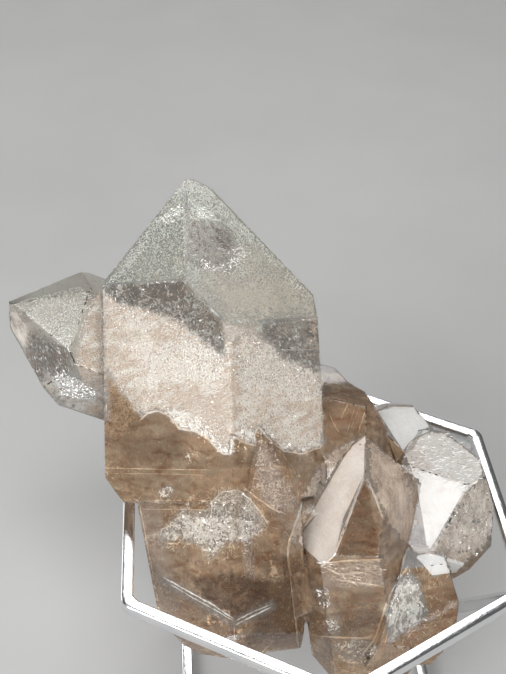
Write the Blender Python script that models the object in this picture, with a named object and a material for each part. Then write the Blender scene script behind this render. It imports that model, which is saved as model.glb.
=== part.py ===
"""A smoky quartz cluster leaning back in a hexagonal stand of welded square bars.

Metres, +Z up, the stand's underside at Z = 0 and the origin under the middle of the object's box.

The crystals are laid out in millimetres in the specimen's own leaning frame, whose origin is the
middle of the stand's top ring: x runs to the viewer's right, y away from the viewer, and z up the
long crystal. A crystal is a block cut by its faces: six prism faces round the axis, with a rise
near 0, and up to six tip faces, with a rise near TIP.
"""

import math

import bmesh
import bpy
import numpy as np
from mathutils import Matrix, Vector

MM = 0.001
GAP = 0.3

# Stand, in millimetres
RING_RADIUS = 56.0
FOOT_RADIUS = 39.0
BAR = 3.0
RING_HEIGHT = 61.5
RING_TURN = math.radians(35.3)
STRUTS = {0: 0, 2: 2, 4: 4, 5: 5.85}
CORNER_NAMES = ("rear_right", "rear", "rear_left", "front_left", "front", "front_right")
SIDE_NAMES = ("rear_right", "rear_left", "left", "front_left", "front_right", "right")

# How the specimen leans in the stand
LEAN_BACK = math.radians(37.0)
LEAN_SIDE = math.radians(2.15)

# Quartz's own angle between a tip face and the long axis is close to this
TIP = 38
SIDES = 6
BLOCK = 160.0

# Finishes
QUARTZ_COLOUR = (0.50, 0.40, 0.32, 1.0)
CHROME_COLOUR = (0.80, 0.81, 0.83, 1.0)


def specimen_to_world():
    """The leaning frame in the world, before the whole object is centred on its origin."""
    lean = Matrix.Rotation(-LEAN_BACK, 4, "X") @ Matrix.Rotation(-LEAN_SIDE, 4, "Y")
    return Matrix.Translation((0, 0, RING_HEIGHT * MM)) @ lean


def material(name, colour, roughness, metallic, transmission=0.0):
    made = bpy.data.materials.new(name)
    made.use_nodes = True
    shader = made.node_tree.nodes["Principled BSDF"]
    shader.inputs["Base Color"].default_value = colour
    shader.inputs["Roughness"].default_value = roughness
    shader.inputs["Metallic"].default_value = metallic
    shader.inputs["Transmission Weight"].default_value = transmission
    return made


def add_object(name, bm, finish=None):
    """Turns a bmesh in metres into an object, with its normals pointing out."""
    bmesh.ops.recalc_face_normals(bm, faces=bm.faces)
    mesh = bpy.data.meshes.new(name)
    bm.to_mesh(mesh)
    bm.free()
    if finish is not None:
        mesh.materials.append(finish)
    made = bpy.data.objects.new(name, mesh)
    bpy.context.scene.collection.objects.link(made)
    return made


def cut_block(name, centre, planes):
    """A convex solid: a big cube round centre, cut back to each plane (normal, distance from centre)."""
    bm = bmesh.new()
    bmesh.ops.create_cube(bm, size=2 * BLOCK * MM)
    for normal, distance in planes:
        cut = bmesh.ops.bisect_plane(
            bm,
            geom=bm.verts[:] + bm.edges[:] + bm.faces[:],
            dist=1e-7,
            plane_co=normal * distance * MM,
            plane_no=normal,
            clear_outer=True,
        )
        edges = [e for e in cut["geom_cut"] if isinstance(e, bmesh.types.BMEdge)]
        if edges:
            bmesh.ops.contextual_create(bm, geom=edges)
    bmesh.ops.remove_doubles(bm, verts=bm.verts, dist=2e-6)
    bmesh.ops.translate(bm, verts=bm.verts, vec=Vector(centre) * MM)
    return add_object(name, bm)


def crystal(name, centre, axis, faces, foot):
    """One crystal, or one broken lump. Each of faces is (turn, rise, distance): turn is measured in
    degrees about the axis from the viewer's side round to the right, rise is how far the face looks
    up from square to the axis, and distance is millimetres from centre. foot is how far the body
    runs down its axis from the centre."""
    up = Vector(axis).normalized()
    forward = Vector((0, -1, 0))
    forward = (forward - up * forward.dot(up)).normalized()
    right = up.cross(forward)
    planes = [(-up, foot)]
    for turn, rise, distance in faces:
        turn = math.radians(turn)
        rise = math.radians(rise)
        level = forward * math.cos(turn) + right * math.sin(turn)
        planes.append((level * math.cos(rise) + up * math.sin(rise), distance))
    return cut_block(name, centre, planes)


def broken_lump(name, centre, radii, faces, seed, roughness=0.12):
    """A lump of broken quartz: an ellipsoid's flat-faced hull, each face at an uneven depth."""
    random = np.random.default_rng(seed)
    planes = []
    golden = math.pi * (3 - math.sqrt(5))
    for k in range(faces):
        z = 1 - 2 * (k + 0.5) / faces
        ring = math.sqrt(1 - z * z)
        turn = k * golden + random.uniform(-0.25, 0.25)
        normal = Vector((ring * math.cos(turn), ring * math.sin(turn), z))
        reach = Vector([n * r for n, r in zip(normal, radii)]).length
        planes.append((normal, reach * (1 + random.uniform(-roughness, roughness))))
    return cut_block(name, centre, planes)


def main_crystal():
    """The tall clear crystal, and the brown stem that carries it."""
    head = crystal(
        "head",
        centre=(-28.9, 6, 57.3),
        axis=(-0.038, 0.049, 1),
        foot=52.8,
        faces=(
            (-31, 1, 21.9),
            (34, 0, 28.3),
            (95, 1, 26.9),
            (153, 0, 25),
            (213, 0, 19.8),
            (273, 1, 26.7),
            (-30, TIP, 18.3),
            (28, TIP + 2, 15),
            (94, TIP, 20.3),
            (154, TIP, 24),
            (214, TIP, 25.5),
            (274, TIP, 23.1),
            (16, 19, 24.1),
            (-122, -42, 44.2),
            (172, -38, 46),
            (135, -30, 42),
            (215, -46, 45.5),
        ),
    )
    stem = crystal(
        "stem",
        centre=(-26, -4, -5),
        axis=(0, 0, 1),
        foot=30,
        faces=(
            (-90, -11, 17.6),
            (-90, -34, 22),
            (-90, -56, 27.3),
            (-31, -5, 14.3),
            (-30, -50, 25),
            (34, -5, 18),
            (25, -52, 27),
            (90, -4, 24),
            (150, -12, 24),
            (213, -12, 22),
            (0, 90, 17),
        ),
    )
    return [head, stem]


def side_crystal():
    """The short crystal at the left, lying almost level."""
    return [
        crystal(
            "side_crystal",
            centre=(-62.2, 14, 45.8),
            axis=(-0.92, -0.36, 0.35),
            foot=26,
            faces=(
                (11, TIP - 1, 15.5),
                (72, TIP + 1, 16),
                (-43, TIP + 3, 14.6),
                (132, TIP, 15.2),
                (-108, TIP - 1, 15.5),
                (195, TIP, 18),
                (-100, 66, 19.8),
                (11, -1, 14.7),
                (77, 0, 15.4),
                (-53, 0, 15),
                (-108, 0, 19.5),
                (132, 0, 16),
                (195, 0, 15),
            ),
        )
    ]


def front_crystals():
    """The stout crystal at the front right, and the small veiled one beside it."""
    stout = crystal(
        "stout_crystal",
        centre=(10.8, -10, -5),
        axis=(-0.145, -0.393, 1),
        foot=30,
        faces=(
            (-67, TIP + 4, 15.2),
            (-8, TIP - 3, 18.3),
            (52, TIP - 1, 18),
            (173, TIP, 19.4),
            (-126, TIP - 1, 16.1),
            (112, TIP, 20.5),
            (-11, 0, 17.7),
            (-69, 0, 16.4),
            (58, 4, 11.8),
            (-127, 0, 11.4),
            (113, 0, 18.5),
            (173, 0, 16),
        ),
    )
    veiled = crystal(
        "veiled_crystal",
        centre=(-12.2, -20, 9.4),
        axis=(-0.064, -0.109, 1),
        foot=20,
        faces=(
            (-76, 24, 7),
            (-5, TIP - 1, 9.3),
            (60, TIP - 4, 7.3),
            (108, TIP - 6, 7),
            (180, TIP, 12),
            (-5, 0, 9.6),
            (-65, 0, 8.4),
            (55, 0, 7),
            (115, 0, 5.5),
            (175, 0, 10),
            (235, 0, 8),
        ),
    )
    return [stout, veiled]


def rear_crystals():
    """The brown crystal behind the stout one, and a pale tip that shows past it."""
    brown = crystal(
        "brown_crystal",
        centre=(12, 2, 12),
        axis=(0, 0, 1),
        foot=34,
        faces=(
            (8, 33, 13.7),
            (31, 68, 16.9),
            (56, 17, 8.3),
            (-90, 85, 22),
            (90, 60, 17.5),
            (90, 29, 10.5),
            (0, 0, 16),
            (-60, 0, 17),
            (180, 20, 18),
            (175, -38, 29),
            (205, -55, 31),
            (120, 10, 14),
            (240, 10, 16),
        ),
    )
    pale = crystal(
        "pale_tip",
        centre=(4, 18, 26),
        axis=(0.1, 0.2, 1),
        foot=30,
        faces=(
            (90, 78, 11),
            (90, 41, 8),
            (60, 0, 9),
            (0, 0, 8),
            (-60, 0, 12),
            (120, 0, 9),
            (180, 0, 10),
            (240, 0, 10),
            (0, TIP, 10),
            (180, TIP, 12),
        ),
    )
    return [brown, pale]


def plates():
    """The pale crystals at the right, stacked like thick plates."""
    middle = crystal(
        "middle_plate",
        centre=(36, -4, 2),
        axis=(0, 0, 1),
        foot=18,
        faces=(
            (3, 24, 6),
            (20, 53, 7.6),
            (38, -1, 4),
            (12, -46, 13.1),
            (-90, 32, 18.8),
            (-90, 84, 20),
            (90, 52, 14.2),
            (83, 17, 9.2),
            (90, -4, 9.8),
            (90, -52, 13.5),
            (-90, -82, 17.8),
            (-90, -36, 15.6),
            (180, 12, 16),
            (140, -20, 14),
            (120, 30, 14),
        ),
    )
    upper = crystal(
        "upper_plate",
        centre=(26, 8, 17),
        axis=(0, 0, 1),
        foot=18,
        faces=(
            (31, 46, 4.4),
            (-90, 70, 12.2),
            (90, 88, 10.5),
            (90, 40, 7.4),
            (90, 5, 7),
            (-40, -10, 10),
            (-90, -25, 9.5),
            (180, 10, 14),
            (140, 30, 12),
        ),
    )
    return [middle, upper]


def broken_base():
    """The massive quartz that the crystals grew from, broken off below and behind."""
    corner = crystal(
        "broken_corner",
        centre=(24, -14, -18),
        axis=(0, 0, 1),
        foot=16,
        faces=(
            (90, 16, 9.4),
            (90, -11, 10.2),
            (90, -31, 10.8),
            (22, 12, 6),
            (20, 50, 9),
            (10, -40, 14),
            (-90, 20, 7),
            (180, 10, 18),
            (140, -20, 16),
        ),
    )
    middle = broken_lump("broken_middle", (0, 2, -8), (30, 17, 21), 26, seed=3)
    return [corner, middle]


def bar_between(name, start, end, trim, finish, spread=None):
    """A square bar from start to end, both in millimetres. trim is (normal, point) for each end."""
    along = (end - start).normalized()
    side = spread if spread is not None else along.cross(Vector((0, 0, 1))).normalized()
    upward = side.cross(along)
    bm = bmesh.new()
    bmesh.ops.create_cube(bm, size=1)
    length = (end - start).length + 4 * BAR
    shape = Matrix((along * length, side * BAR, upward * BAR)).transposed().to_4x4()
    place = Matrix.Translation((start + end) / 2) @ shape
    bmesh.ops.transform(bm, matrix=place, verts=bm.verts)
    for normal, point in trim:
        cut = bmesh.ops.bisect_plane(
            bm,
            geom=bm.verts[:] + bm.edges[:] + bm.faces[:],
            dist=1e-6,
            plane_co=point,
            plane_no=normal,
            clear_outer=True,
        )
        edges = [e for e in cut["geom_cut"] if isinstance(e, bmesh.types.BMEdge)]
        bmesh.ops.contextual_create(bm, geom=edges)
    bmesh.ops.scale(bm, vec=(MM, MM, MM), verts=bm.verts)
    return add_object(name, bm, finish)


def ring_corner(k, radius, height):
    angle = RING_TURN + math.radians(60) * k
    return Vector((radius * math.cos(angle), radius * math.sin(angle), height))


def ring_point(place, radius, height):
    """A point on a ring, place counting its corners, so that 5.5 is midway from corner 5 to corner 0."""
    start = math.floor(place)
    return ring_corner(start, radius, height).lerp(ring_corner(start + 1, radius, height), place - start)


def hexagon_ring(label, radius, height, finish):
    """Six bars with mitred ends, parted by GAP at each corner."""
    bars = []
    for k in range(SIDES):
        start = ring_corner(k, radius, height)
        end = ring_corner(k + 1, radius, height)
        trim = []
        for corner, inward in ((start, end - start), (end, start - end)):
            mitre = Vector((-corner.y, corner.x, 0)).normalized()
            if mitre.dot(inward) > 0:
                mitre = -mitre
            trim.append((mitre, corner - mitre * GAP / 2))
        name = f"{label}_bar_{SIDE_NAMES[k]}"
        bars.append(bar_between(name, start, end, trim, finish))
    return bars


def strut(corner, place, finish):
    """A bar from under one corner of the top ring to over a place on the foot ring."""
    down = Vector((0, 0, -1))
    top = ring_corner(corner, RING_RADIUS, RING_HEIGHT)
    low = ring_point(place, FOOT_RADIUS, BAR / 2)
    trim = (
        (-down, top + down * (BAR / 2 + GAP)),
        (down, low - down * (BAR / 2 + GAP)),
    )
    side = (top - low).cross(top).normalized()
    return bar_between(f"strut_{CORNER_NAMES[corner]}", top, low, trim, finish, side)


def stand(finish):
    bars = hexagon_ring("ring", RING_RADIUS, RING_HEIGHT, finish)
    bars += hexagon_ring("foot", FOOT_RADIUS, BAR / 2, finish)
    bars += [strut(corner, place, finish) for corner, place in STRUTS.items()]
    return bars


def hide_tool(tool):
    tool.hide_render = True
    tool.display_type = "WIRE"


def quartz_cluster(finish):
    """Every crystal and the matrix, grown together as one solid, clear of the bars that hold it."""
    body, *others = (
        main_crystal()
        + side_crystal()
        + front_crystals()
        + rear_crystals()
        + plates()
        + broken_base()
    )
    body.name = "quartz_cluster"
    body.data.materials.append(finish)
    place = specimen_to_world()
    for grown in [body, *others]:
        grown.matrix_world = place
    for other in others:
        hide_tool(other)
        join = body.modifiers.new("grown_with_" + other.name, "BOOLEAN")
        join.operation = "UNION"
        join.object = other
    return body


def centre_on_origin(objects):
    """Moves the whole object so that the middle of its box stands over the origin, at Z = 0."""
    graph = bpy.context.evaluated_depsgraph_get()
    corners = []
    for item in objects:
        shape = item.evaluated_get(graph)
        corners += [shape.matrix_world @ v.co for v in shape.data.vertices]
    low = Vector([min(c[i] for c in corners) for i in range(3)])
    high = Vector([max(c[i] for c in corners) for i in range(3)])
    shift = Vector((-(low.x + high.x) / 2, -(low.y + high.y) / 2, -low.z))
    for item in bpy.data.objects:
        item.matrix_world = Matrix.Translation(shift) @ item.matrix_world
    return shift


def main():
    for old in list(bpy.data.objects):
        bpy.data.objects.remove(old)
    quartz = material("smoky_quartz", QUARTZ_COLOUR, 0.12, 0.0, transmission=0.8)
    chrome = material("chrome", CHROME_COLOUR, 0.08, 1.0)
    bars = stand(chrome)
    cluster = quartz_cluster(quartz)
    bpy.context.view_layer.update()
    shift = centre_on_origin([cluster, *bars])
    bpy.context.view_layer.update()
    return shift


if __name__ == "__main__":
    main()
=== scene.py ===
"""The smoky quartz cluster on its bar stand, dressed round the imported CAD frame.

Distances are in metres in the row frame. Everything that belongs to the specimen is laid out in
millimetres in its own leaning frame, as in the part's source: x to the viewer's right, y away from
the viewer, z up the long crystal, and the origin at the middle of the stand's top ring.
"""

import math
from typing import NamedTuple

import bmesh
import bpy
import numpy as np
from mathutils import Matrix, Vector, noise
from mathutils.bvhtree import BVHTree
from mathutils.geometry import delaunay_2d_cdt


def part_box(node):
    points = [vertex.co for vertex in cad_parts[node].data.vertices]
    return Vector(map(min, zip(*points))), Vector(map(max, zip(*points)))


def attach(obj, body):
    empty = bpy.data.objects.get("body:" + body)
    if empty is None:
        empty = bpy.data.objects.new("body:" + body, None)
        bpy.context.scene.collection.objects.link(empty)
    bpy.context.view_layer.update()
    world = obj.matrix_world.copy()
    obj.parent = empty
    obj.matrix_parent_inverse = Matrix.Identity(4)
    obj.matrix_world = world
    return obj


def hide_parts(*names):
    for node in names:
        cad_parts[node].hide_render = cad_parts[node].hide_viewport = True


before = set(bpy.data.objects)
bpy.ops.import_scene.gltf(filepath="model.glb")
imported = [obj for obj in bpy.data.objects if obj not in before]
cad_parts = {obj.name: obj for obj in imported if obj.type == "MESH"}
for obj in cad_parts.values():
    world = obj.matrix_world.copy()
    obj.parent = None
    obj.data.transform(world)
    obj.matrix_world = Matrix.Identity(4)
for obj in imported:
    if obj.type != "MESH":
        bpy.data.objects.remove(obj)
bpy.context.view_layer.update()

MM = 0.001

# The stand, in millimetres, as in the part's source
RING_RADIUS = 56.0
FOOT_RADIUS = 39.0
BAR = 3.0
RING_TURN = math.radians(35.3)
STRUTS = {"rear_right": (0, 0), "rear_left": (2, 2), "front": (4, 4), "front_right": (5, 5.85)}
SIDES = 6
SIDE_NAMES = ("rear_right", "rear_left", "left", "front_left", "front_right", "right")

# How the specimen leans
LEAN_BACK = math.radians(37.0)
LEAN_SIDE = math.radians(2.15)

# The camera's place in the leaning frame, in millimetres, its lens on a 36 mm sensor, and the size
# of the photograph whose pixels give the places seen in it
CAMERA_PLACE = Vector((-16.5, -299.0, 46.0))
LENS = 61.42
SENSOR = 36
PHOTO_WIDTH = 506
PHOTO_HEIGHT = 674
FOCAL = LENS / SENSOR * PHOTO_HEIGHT

# Spacing of the surface points of the cluster, on plain and on rough faces, and the width and the
# depth of the worn strip along its edges, in millimetres
STEP = 0.85
FINE_STEP = 0.42
WORN = 0.28
WORN_DEPTH = 0.07

# Edges flatter than this are worn less
FLAT_EDGE = math.radians(12)
FLAT_WEAR = 0.3

# Frost on the faces that have no finish of their own
PLAIN_FROST = 0.03

# How far the borders of zones waver, in pixels, and how long the waves are, in millimetres
WANDER = 2.5
WANDER_SIZE = 2.5

# How far under the surface a second ray starts, how much quartz is left behind what lies in it, and
# how near a ray's end a point counts as seen, in millimetres
RAY_START = 0.01
LEAST_BEHIND = 0.5
SEEN_WITHIN = 0.4

# Thickness of the films in the quartz and the most of a flake, in millimetres
FILM_THICKNESS = 0.12
FLAKE_THICKNESS = 0.06
FLAKE_CORNERS = 5

# Quartz
QUARTZ_IOR = 1.544
QUARTZ_ABSORPTION = (0.55, 0.39, 0.24, 1.0)
QUARTZ_DENSITY = 30.0

# Seeds of the random draws and of the noise that no table numbers, and how far a seed moves noise
SURFACE_SEED = 11
WANDER_SEEDS = (3, 4)
PHANTOM_SEEDS = (21, 22)
CLOUD_SEED = 5
SEED_SHIFT = (17.3, -9.1, 5.7)

# How far the points of a grid are moved at random and keep from its sides, as shares of its step,
# and how far the points of an inner outline keep from the sides, as a share of its distance
GRID_JITTER = 0.16
GRID_MARGIN = 0.75
INSET_MARGIN = 0.8

# Corners of a CAD mesh closer than this many millimetres are one, and faces flatter than this angle
WELD = 0.001
COPLANAR = math.radians(0.4)


# Frame

def ring_centre():
    boxes = [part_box(f"ring_bar_{side}") for side in SIDE_NAMES]
    low = Vector([min(b[0][i] for b in boxes) for i in range(3)])
    high = Vector([max(b[1][i] for b in boxes) for i in range(3)])
    return (low + high) / 2


RING_CENTRE = ring_centre()
LEAN = (
    Matrix.Translation(RING_CENTRE)
    @ Matrix.Rotation(-LEAN_BACK, 4, "X")
    @ Matrix.Rotation(-LEAN_SIDE, 4, "Y")
)
TO_MM = Matrix.Scale(1 / MM, 4)


# Node materials

class Graph:
    """Builds a material's nodes, one call to a node, each call giving its first output back."""

    def __init__(self, name):
        self.material = bpy.data.materials.new(name)
        self.material.use_nodes = True
        self.tree = self.material.node_tree
        self.shader = self.tree.nodes["Principled BSDF"]
        self.output = self.tree.nodes["Material Output"]

    def put(self, socket, value):
        if isinstance(value, bpy.types.NodeSocket):
            self.tree.links.new(value, socket)
        elif value is not None:
            socket.default_value = value

    def node(self, kind, inputs=(), output=0, **settings):
        made = self.tree.nodes.new(kind)
        for key, value in settings.items():
            setattr(made, key, value)
        for key, value in dict(inputs).items():
            self.put(made.inputs[key], value)
        return made.outputs[output]

    def join(self, operation, values):
        total = values[0]
        for value in values[1:]:
            total = self.node("ShaderNodeMath", {0: total, 1: value}, operation=operation)
        return total

    def times(self, *values):
        return self.join("MULTIPLY", values)

    def plus(self, *values):
        return self.join("ADD", values)

    def range(self, value, low, high, to_low=0.0, to_high=1.0):
        """value from low to high made to run from to_low to to_high, and held there beyond."""
        return self.node(
            "ShaderNodeMapRange",
            {"Value": value, "From Min": low, "From Max": high, "To Min": to_low, "To Max": to_high},
        )

    def mix(self, factor, a, b):
        return self.node("ShaderNodeMix", {0: factor, 6: a, 7: b}, output=2, data_type="RGBA")

    def attribute(self, name):
        return self.node("ShaderNodeAttribute", output=2, attribute_name=name)

    def place(self, stretch, turn):
        """The point being shaded, in millimetres along the leaning axes, turned about the line of
        sight and with each axis stretched."""
        turn = (Matrix.Rotation(turn, 3, "Y") @ LEAN.to_3x3().inverted()).to_euler()
        point = self.node("ShaderNodeTexCoord", output=3)
        leaning = self.node(
            "ShaderNodeMapping", {"Vector": point, "Scale": [1 / MM] * 3, "Rotation": turn}
        )
        return self.node("ShaderNodeMapping", {"Vector": leaning, "Scale": stretch})

    def noise(self, scale, detail=2.0, rough=0.5, twist=0.0, stretch=(1, 1, 1), turn=0.0):
        place = self.place(stretch, turn)
        inputs = {"Vector": place, "Scale": scale, "Detail": detail, "Roughness": rough}
        return self.node("ShaderNodeTexNoise", {**inputs, "Distortion": twist})

    def bump(self, height, distance, strength):
        inputs = {"Height": height, "Distance": distance, "Strength": strength}
        return self.node("ShaderNodeBump", inputs)

    def finish(self, **inputs):
        for key, value in inputs.items():
            self.put(self.shader.inputs[key.replace("_", " ")], value)
        return self.material

    def film(self, colour, grain, rough, distance, strength, **inputs):
        """The finish of a film whose one grain sets its roughness and its relief."""
        return self.finish(
            Base_Color=colour,
            Roughness=self.range(grain, 0.3, 0.7, *rough),
            Normal=self.bump(grain, distance, strength),
            **inputs,
        )


def rgb(red, green, blue):
    """An sRGB colour, 0 to 255, as the linear colour that shaders take."""
    parts = []
    for c in (red, green, blue):
        c /= 255
        parts.append(c / 12.92 if c <= 0.04045 else ((c + 0.055) / 1.055) ** 2.4)
    return (*parts, 1.0)


# Meshes

def piece(name, points, faces, material, matrix=Matrix()):
    """A mesh object that rides on the part. Points are in millimetres in the frame of matrix."""
    points = np.array([tuple(p) for p in points]) * MM
    points = points @ np.array(matrix.to_3x3()).T + np.array(matrix.translation)
    mesh = bpy.data.meshes.new(name)
    mesh.from_pydata(points, [], [tuple(f) for f in faces])
    mesh.materials.append(material)
    made = bpy.data.objects.new(name, mesh)
    bpy.context.scene.collection.objects.link(made)
    bpy.context.view_layer.update()
    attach(made, "root")
    return made


def quartz_piece(name, points, faces, material):
    return piece(name, points, faces, material, LEAN)


def put_attribute(mesh, name, domain, values):
    made = mesh.attributes.new(name, "FLOAT", domain)
    made.data.foreach_set("value", np.asarray(values, np.float32))


def unit(vector):
    return vector / np.linalg.norm(vector)


def smooth(value, low, high):
    share = np.clip((value - low) / (high - low), 0, 1)
    return share * share * (3 - 2 * share)


def uneven(points, scale, seed, octaves=3):
    """Noise of about -1 to 1 at each point, with features about scale millimetres across."""
    offset = Vector([seed * shift for shift in SEED_SHIFT])
    return np.array(
        [noise.fractal(Vector(p) / scale + offset, 0.9, 2.1, octaves) for p in points]
    )


def clearance(points, outline):
    """How far each 2-D point is inside an outline, negative outside it."""
    inside = np.zeros(len(points), bool)
    clear = np.full(len(points), np.inf)
    x, y = points.T
    for p, q in zip(outline, np.roll(outline, -1, axis=0)):
        if p[1] != q[1]:
            crossing = (p[1] > y) != (q[1] > y)
            inside ^= crossing & (x < (q[0] - p[0]) * (y - p[1]) / (q[1] - p[1]) + p[0])
        along = q - p
        share = np.clip((points - p) @ along / max(along @ along, 1e-12), 0, 1)
        clear = np.minimum(clear, np.linalg.norm(points - p - share[:, None] * along, axis=1))
    return np.where(inside, clear, -clear)


def inset(outline, width):
    """The points of a 2-D outline moved width inwards, less those that come too close to a side."""
    along = np.roll(outline, -1, axis=0) - outline
    along /= np.maximum(np.linalg.norm(along, axis=1), 1e-9)[:, None]
    inward = np.stack([-along[:, 1], along[:, 0]], axis=1)
    both = inward + np.roll(inward, 1, axis=0)
    both /= np.maximum((both**2).sum(1), 1e-3)[:, None]
    points = outline + 2 * width * both
    return points[clearance(points, outline) > INSET_MARGIN * width]


def lattice(outline, step, random):
    """Points inside a 2-D outline on an uneven triangular grid, clear of its sides."""
    low = outline.min(0)
    high = outline.max(0)
    rows = np.arange(low[1], high[1], step * math.sqrt(3) / 2)
    columns = np.arange(low[0], high[0], step)
    points = [(x + (r % 2) * step / 2, y) for r, y in enumerate(rows) for x in columns]
    points = np.array(points, float).reshape(-1, 2)
    points += random.uniform(-GRID_JITTER, GRID_JITTER, points.shape) * step
    return points[clearance(points, outline) > GRID_MARGIN * step]


def triangulate(outline, inner):
    """Triangles over an outline's points and the points inside it, numbered in that order. They fill
    the outline's notches too, up to its convex hull, which is a known fault."""
    points = np.concatenate([outline, inner]) if len(inner) else outline
    ring = list(range(len(outline)))
    edges = list(zip(ring, ring[1:] + ring[:1]))
    _, _, triangles, origin, _, _ = delaunay_2d_cdt(
        [Vector(p) for p in points], edges, [ring], 1, 1e-7, True
    )
    return [tuple(origin[i][0] for i in t) for t in triangles if all(origin[i] for i in t)]


def trim(triangles):
    """The numbers of the points that triangles use, and the triangles numbered among these."""
    used = sorted({i for t in triangles for i in t})
    number = {old: new for new, old in enumerate(used)}
    return used, [tuple(number[i] for i in t) for t in triangles]


def slab(points, triangles, back):
    """A thin closed body: the triangles, the same ones at the points moved by back, and the rim."""
    count = len(points)
    faces = [tuple(t) for t in triangles]
    faces += [tuple(count + i for i in t[::-1]) for t in triangles]
    edges = {(t[i], t[(i + 1) % 3]) for t in triangles for i in range(3)}
    for a, b in edges:
        if (b, a) not in edges:
            faces.append((b, a, a + count, b + count))
    return np.concatenate([points, points + back]), faces


def facets(node):
    """A CAD node's flat faces, in millimetres in the leaning frame, with coplanar ones joined."""
    bm = bmesh.new()
    bm.from_mesh(node.data)
    bm.transform(TO_MM @ LEAN.inverted())
    bmesh.ops.remove_doubles(bm, verts=bm.verts, dist=WELD)
    bmesh.ops.dissolve_limit(
        bm, angle_limit=COPLANAR, verts=bm.verts, edges=bm.edges, delimit={"NORMAL"}
    )
    bm.normal_update()
    for group in (bm.verts, bm.edges, bm.faces):
        group.index_update()
        group.ensure_lookup_table()
    return bm


def edge_points(bm):
    """The corners of bm and then points along its edges, and the numbers of each edge's points."""
    points = [np.array(v.co) for v in bm.verts]
    along = []
    for edge in bm.edges:
        a, b = (np.array(v.co) for v in edge.verts)
        count = max(1, round(np.linalg.norm(b - a) / STEP))
        along.append(range(len(points), len(points) + count - 1))
        points += [a + (b - a) * k / count for k in range(1, count)]
    return points, along


def rim(face, along):
    """The numbers of the points round a face, in order."""
    numbers = []
    for loop in face.loops:
        numbers.append(loop.vert.index)
        inner = along[loop.edge.index]
        numbers += inner if loop.edge.verts[0] == loop.vert else inner[::-1]
    return numbers


def fine_surface(bm, broken):
    """The faces of bm cut into small even triangles, finer on the broken ones: points, triangles,
    each triangle's face, each point's face, -1 on edges, and the numbers of each edge's points."""
    random = np.random.default_rng(SURFACE_SEED)
    points, along = edge_points(bm)
    triangles = []
    owner = []
    place = [-1] * len(points)
    for face in bm.faces:
        step = FINE_STEP if face.index in broken else STEP
        first, second = face.loops[0].edge.verts
        across = (second.co - first.co).normalized()
        basis = np.array([across, face.normal.cross(across)]).T
        ring = rim(face, along)
        start = np.array(face.loops[0].vert.co)
        outline = (np.array([points[i] for i in ring]) - start) @ basis
        inner = np.concatenate([inset(outline, WORN), lattice(outline, step, random)])
        numbers = ring + list(range(len(points), len(points) + len(inner)))
        points += [start + basis @ p for p in inner]
        place += [face.index] * len(inner)
        found = triangulate(outline, inner)
        triangles += [tuple(numbers[i] for i in t) for t in found]
        owner += [face.index] * len(found)
    return np.array(points), np.array(triangles), np.array(owner), np.array(place), along


def from_edges(face, points):
    """How far each point of a flat face is from the face's edges."""
    nearest = np.full(len(points), np.inf)
    for edge in face.edges:
        start, end = (np.array(v.co) for v in edge.verts)
        length = np.linalg.norm(end - start)
        along = (end - start) / length
        share = np.clip((points - start) @ along, 0, length)
        away = np.linalg.norm(points - start - share[:, None] * along, axis=1)
        nearest = np.minimum(nearest, away)
    return nearest


# The cluster's surface

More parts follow.
